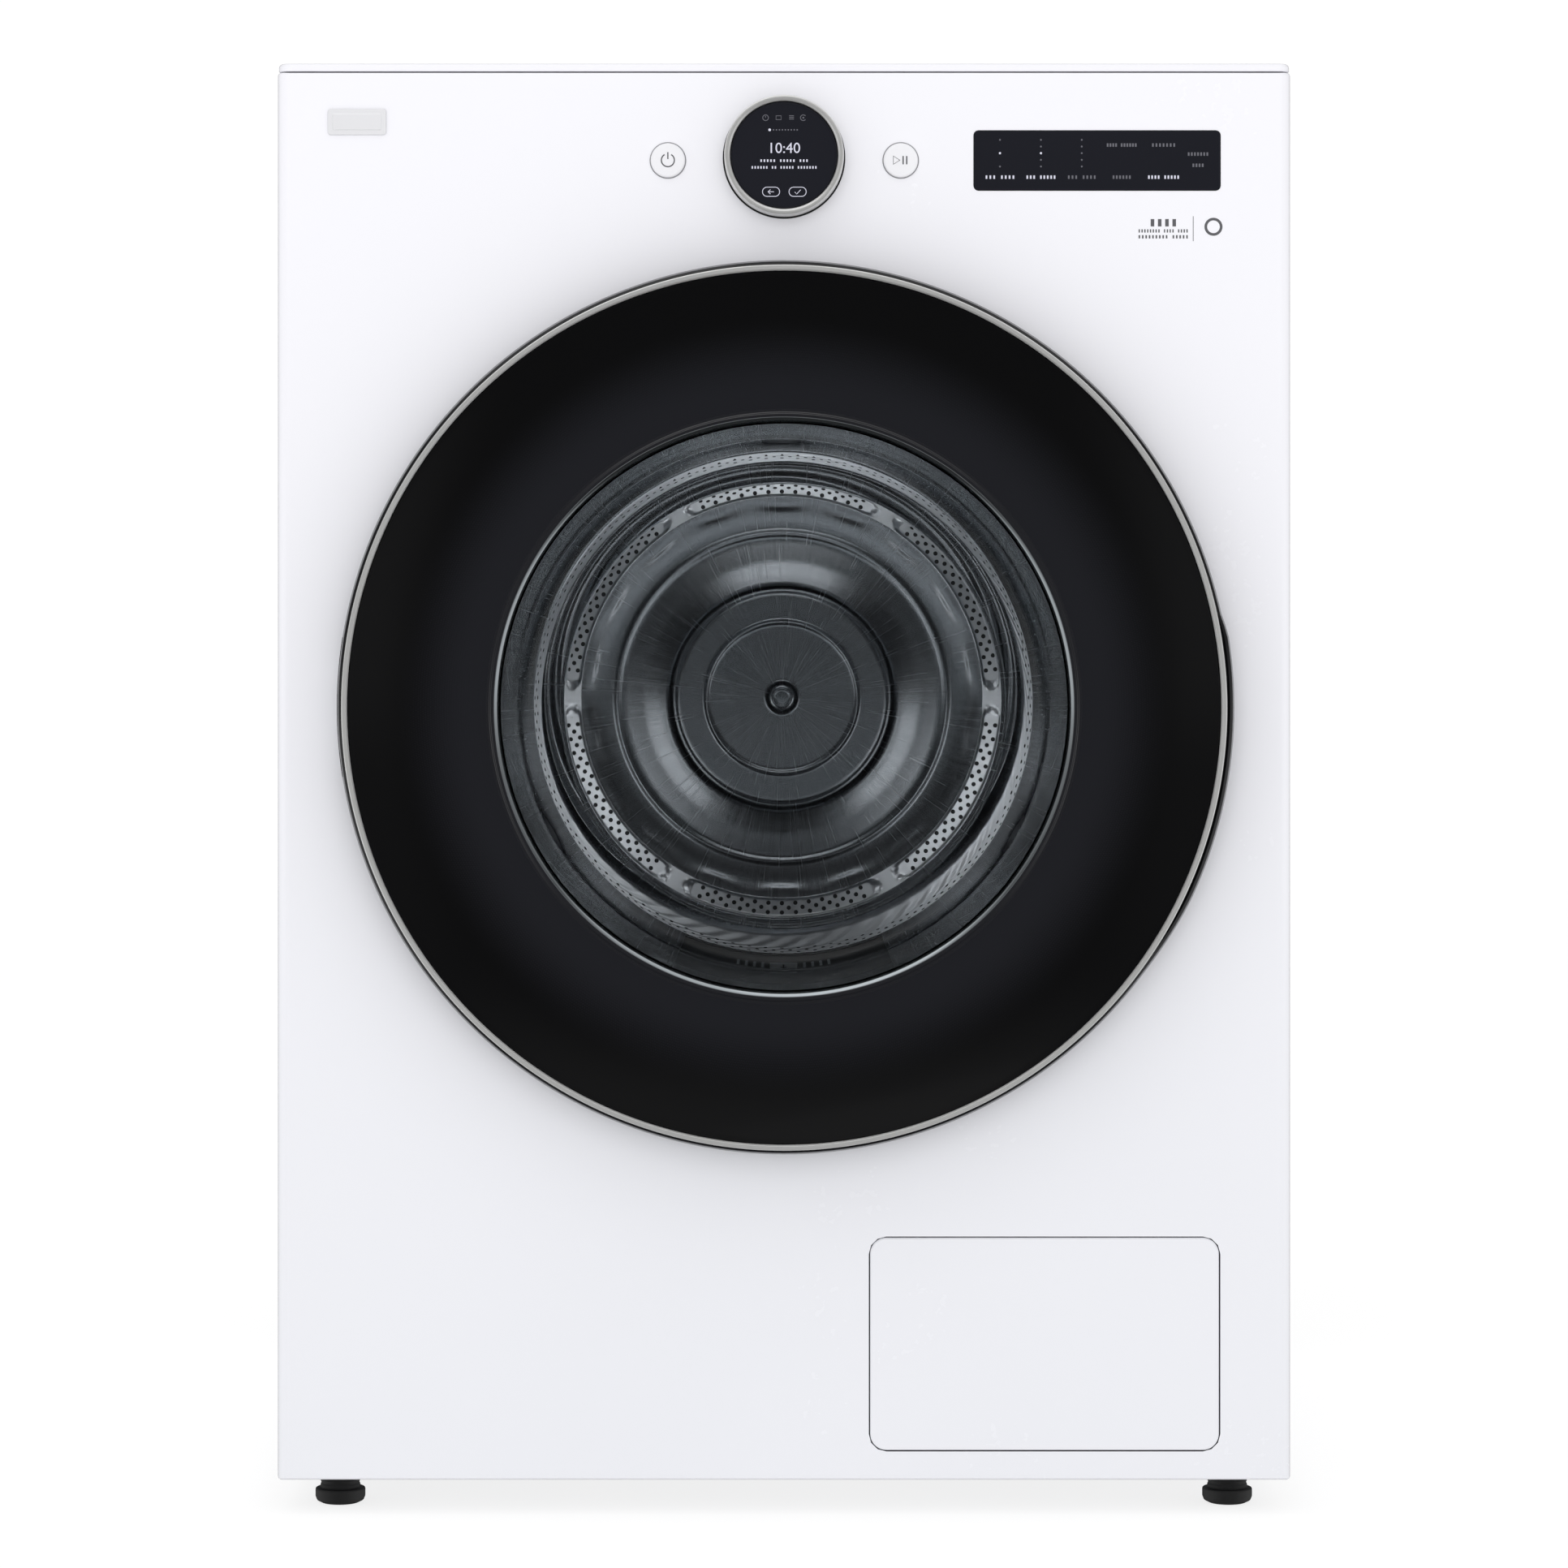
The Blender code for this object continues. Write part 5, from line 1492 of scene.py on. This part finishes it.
class DRYER_OT_touch(bpy.types.Operator):
    """Black touch glass with its dots and marks, the plain badge and the grey printed mark"""

    bl_idname = "dryer.touch"
    bl_label = "Touch panel"

    def execute(self, context):
        centre, size = middle("touch_lens")[[0, 2]], (high("touch_lens") - low("touch_lens"))[[0, 2]]
        front, back = low("touch_lens")[1], high("touch_lens")[1]
        glass = soft_plate(centre, size, 0.0028, back, front, 0.0004)
        make_piece("touch_glass", [glass], display_glass(), "cabinet", ["touch_lens"])
        tone = tuple(context.scene.dryer_paint.lit)
        face, level = front + 0.0001, front - 0.0001

        def dot(x, z, radius):
            return disc(centre + [x, z], radius, face, level, 20)

        def words(counts, x, z, pitch=0.0025):
            return block_words(counts, centre + [x, z], pitch, (0.00115, 0.0023), face, level)

        strong = [dot(-0.0657, 0.0049, 0.00075), dot(-0.0380, 0.0049, 0.00075)]
        strong += [words((3, 4), -0.0657, -0.0113, 0.0026), words((3, 5), -0.0380, -0.0113, 0.0023)]
        strong += [words((4, 5), 0.0449, -0.0113, 0.0022)]
        make_piece("touch_bright_figures", strong, lit("bright figures", tone, 0.85), "cabinet")
        faint = [dot(-0.0657, height, 0.0006) for height in (0.0139, -0.0041)]
        faint += [dot(-0.0380, 0.0139 - 0.0045 * step, 0.0006) for step in (0, 1, 3, 4)]
        faint += [dot(-0.0104, 0.0139 - 0.0045 * step, 0.0006) for step in range(5)]
        faint += [
            words((3, 4), -0.0104, -0.0113), words((6,), 0.0166, -0.0113, 0.0022),
            words((4, 6), 0.0166, 0.0104, 0.0019)
        ]
        faint += [
            words((7,), 0.0449, 0.0104, 0.0024), words((7,), 0.0682, 0.0043, 0.0021),
            words((4,), 0.0682, -0.0033, 0.0021)
        ]
        make_piece("touch_faint_figures", faint, lit("dim figures", tone, 0.16), "cabinet")
        place = middle("badge")[[0, 2]]
        top = low("badge")[1]
        plain = soft_plate(place, (0.0395, 0.0175), 0.002, high("badge")[1], top, 0.0004)
        raised = pressing(place, (0.0340, 0.0120), 0.0016, top + 0.0001, -0.0005, 0.0010)
        pale = grained("pale badge", (0.82, 0.82, 0.845), 0.34, scale=700.0, Metallic=0.12)
        make_piece("plain_badge", [plain, raised], pale, "cabinet", ["badge"])
        ink = grained("grey print ink", (0.11, 0.11, 0.12), 0.5, scale=900.0)
        surface, proud = FRONT + 0.0001, FRONT - 0.0001
        marks = [ribbon(circle((0.2904, 0.8722), 0.0052), 0.0018, surface, proud, closed=True)]
        marks += [ribbon([(0.2767, 0.8793), (0.2767, 0.8625)], 0.0004, surface, proud)]
        marks += [block_words((4,), (0.2565, 0.8749), 0.0049, (0.0024, 0.0050), surface, proud)]
        marks += [block_words((8, 4, 4), (0.2564, 0.8694), 0.0019, (0.0009, 0.0022), surface, proud)]
        marks += [block_words((9, 5), (0.2564, 0.8654), 0.0023, (0.0011, 0.0022), surface, proud)]
        make_piece("printed_mark", marks, ink, "cabinet")
        return {"FINISHED"}


HATCH_CORNER, HATCH_EDGE = 0.0110, 0.0016


class DRYER_OT_hatch(bpy.types.Operator):
    """Flap over the lint screen of the heat pump"""

    bl_idname = "dryer.hatch"
    bl_label = "Hatch"

    def execute(self, context):
        near, far = low("hatch"), high("hatch")
        centre, size = ((near + far) / 2)[[0, 2]], (far - near)[[0, 2]]
        door = soft_plate(centre, size, HATCH_CORNER, far[1], near[1], HATCH_EDGE, steps=10)
        make_piece("hatch_flap", [door], enamel(), "hatch", ["hatch"])
        return {"FINISHED"}


class DRYER_OT_feet(bpy.types.Operator):
    """Levelling feet: a soft pad and a screw stem with its thread"""

    bl_idname = "dryer.feet"
    bl_label = "Feet"

    def execute(self, context):
        looks = slot_materials()
        for corner in ("front_left", "front_right", "rear_left", "rear_right"):
            node = f"foot_{corner}"
            place = middle(node)[:2]
            ribs = [
                point
                for z in np.arange(0.0125, 0.050, 0.003) for point in ((0.0137, z), (0.0130, z + 0.0015))
            ]
            profile = [
                (0, 0.0), (0.0125, 0.0), (0.0160, 0.0018), (0.0171, 0.0045), (0.0171, 0.0095),
                (0.0166, 0.0103),
                (0.0137, 0.0105), *ribs, (0.0130, 0.052), (0, 0.052),
            ]
            make_piece(
                f"{node}_pad", [upright(fillet(profile, 0.0005), place)], looks["rubber"], node, [node],
            )
        return {"FINISHED"}


# Stage


SEEN_SKY = 1.03  # what the camera sees behind the floor
WINDOW_GAIN = 0.36  # added to the even light where it comes in through the glass
LAMP_REACH, LAMP_DEPTH, LAMP_POWER = 0.245, -0.262, 0.046  # small lamps at the drum's mouth
FLOOR_HALF = 8.0
CAMERA_X, CAMERA_Z = -0.0088, 0.5865
VIEW_MIDDLE_Z, VIEW_WIDTH, VIEW_DISTANCE = 0.4954, 1.0603, 3.2
SENSOR = 36.0


def studio_world(scene):
    """Even white round the view; reflections see a darker room, a soft light overhead and one on each side.

    The light that comes in through the window is a little stronger, so that the drum shows behind it.
    """
    world = bpy.data.worlds.new("studio")
    scene.world = world
    world.use_nodes = True
    tree = world.node_tree
    tree.nodes.clear()
    path = add_node(tree, "ShaderNodeLightPath").outputs
    way = add_node(tree, "ShaderNodeTexCoord").outputs["Generated"]
    parts = add_node(tree, "ShaderNodeSeparateXYZ", {0: way}).outputs
    above = span(tree, parts["Z"], 0.45, 0.85)
    sides = span(tree, maths(tree, "ABSOLUTE", parts["X"]), 0.55, 0.85)
    lower = span(tree, parts["Z"], 0.15, -0.10, 0.30, 0.90)
    soft = maths(tree, "MAXIMUM", above, maths(tree, "MULTIPLY", sides, lower))
    room = span(tree, soft, 0.0, 1.0, 0.05, 1.0, smooth=False)
    sky = scene.dryer_stage.sky
    seen = maths(tree, "MULTIPLY", path["Is Camera Ray"], SEEN_SKY - sky)
    through = maths(tree, "MULTIPLY", path["Is Transmission Ray"], WINDOW_GAIN)
    even = maths(tree, "ADD", maths(tree, "ADD", seen, through), sky)
    level = add_node(tree, "ShaderNodeMix", {0: path["Is Glossy Ray"]}, data_type="FLOAT")
    tree.links.new(even, level.inputs[2])
    tree.links.new(room, level.inputs[3])
    light = add_node(
        tree, "ShaderNodeBackground", {"Color": (1.0, 1.0, 1.0, 1.0), "Strength": level.outputs[0]}
    )
    leave = tree.nodes.new("ShaderNodeOutputWorld")
    tree.links.new(light.outputs[0], leave.inputs["Surface"])


def area_light(name, place, aim, size, power, colour=(1.0, 1.0, 1.0)):
    data = bpy.data.lights.new(name, "AREA")
    data.shape, data.size, data.energy, data.color = "DISK", size, power, colour
    lamp = bpy.data.objects.new(name, data)
    lamp.location = place
    way = mathutils.Vector(aim) - mathutils.Vector(place)
    lamp.rotation_euler = way.to_track_quat("-Z", "Y").to_euler()
    bpy.context.scene.collection.objects.link(lamp)
    return lamp


class DRYER_OT_stage(bpy.types.Operator):
    """Plain pale floor, even light, small lamps at the drum's mouth, and the camera"""

    bl_idname = "dryer.stage"
    bl_label = "Stage"

    def execute(self, context):
        scene, look = context.scene, context.scene.dryer_stage
        scene.view_settings.view_transform = "Standard"
        corners = [(x * FLOOR_HALF, y * FLOOR_HALF, 0) for x, y in ((-1, -1), (1, -1), (1, 1), (-1, 1))]
        mesh = bpy.data.meshes.new("floor")
        mesh.from_pydata(corners, [], [(0, 1, 2, 3)])
        tone = tuple(look.floor)
        ground = grained(
            "pale floor", tuple(
                channel * 0.26 for channel in tone
            ), 0.85, scale=30.0, strength=0.05, tint=0.01,
            Emission_Color=tone, Emission_Strength=0.82,
        )
        mesh.materials.append(ground)
        floor = bpy.data.objects.new("floor", mesh)
        scene.collection.objects.link(floor)
        floor.visible_glossy = False
        floor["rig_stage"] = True
        studio_world(scene)
        area_light("overhead", (-0.6, -1.2, 3.2), (0.0, 0.0, 0.6), 2.4, 6.0)
        front = area_light("front", (0.0, -6.0, 1.2), (0.0, 0.0, 0.5), 5.0, 100.0)
        front.visible_glossy = front.visible_camera = front.visible_transmission = False
        turns = np.radians([start + step for start in (90, 210, 330) for step in (-17, 0, 17)])
        for number, angle in enumerate(turns):
            across, up = LAMP_REACH * math.cos(angle), LAMP_REACH * math.sin(angle)
            place = (AXIS[0] + across, LAMP_DEPTH, AXIS[1] + up)
            lamp = area_light(f"mouth_{number}", place, (AXIS[0], 0.29, AXIS[1]), 0.05, LAMP_POWER)
            lamp.visible_camera = lamp.visible_transmission = False
        wide = look.distance * VIEW_WIDTH / VIEW_DISTANCE
        data = bpy.data.cameras.new("camera")
        data.sensor_width = SENSOR
        data.lens = SENSOR * look.distance / wide
        data.shift_x, data.shift_y = -CAMERA_X / wide, -(CAMERA_Z - VIEW_MIDDLE_Z) / wide
        data.clip_end = 60.0
        camera = bpy.data.objects.new("camera", data)
        camera.location = (CAMERA_X, FRONT - look.distance, CAMERA_Z)
        camera.rotation_euler = (math.pi / 2, 0, 0)
        scene.collection.objects.link(camera)
        scene.camera = camera
        return {"FINISHED"}


# Panel and run


OPERATORS = (
    DRYER_OT_cabinet, DRYER_OT_rear, DRYER_OT_door, DRYER_OT_drum, DRYER_OT_dial, DRYER_OT_buttons,
    DRYER_OT_touch,
    DRYER_OT_hatch, DRYER_OT_feet, DRYER_OT_insides, DRYER_OT_stage,
)


class DRYER_PT_panel(bpy.types.Panel):
    bl_idname = "DRYER_PT_panel"
    bl_label = "Clothes Dryer"
    bl_space_type = "VIEW_3D"
    bl_region_type = "UI"
    bl_category = "Dryer"

    def draw(self, context):
        for name, group in SETTINGS.items():
            box = self.layout.box()
            for setting in group.__annotations__:
                box.prop(getattr(context.scene, name), setting)
        for operator in OPERATORS:
            self.layout.operator(operator.bl_idname)


CLASSES = (*SETTINGS.values(), *OPERATORS, DRYER_PT_panel)


def register():
    for item in CLASSES:
        bpy.utils.register_class(item)
    for name, group in SETTINGS.items():
        setattr(bpy.types.Scene, name, bpy.props.PointerProperty(type=group))


def unregister():
    for name in SETTINGS:
        delattr(bpy.types.Scene, name)
    for item in reversed(CLASSES):
        bpy.utils.unregister_class(item)


def main():
    register()
    for operator in OPERATORS:
        family, name = operator.bl_idname.split(".")
        getattr(getattr(bpy.ops, family), name)()


if __name__ == "__main__":
    main()
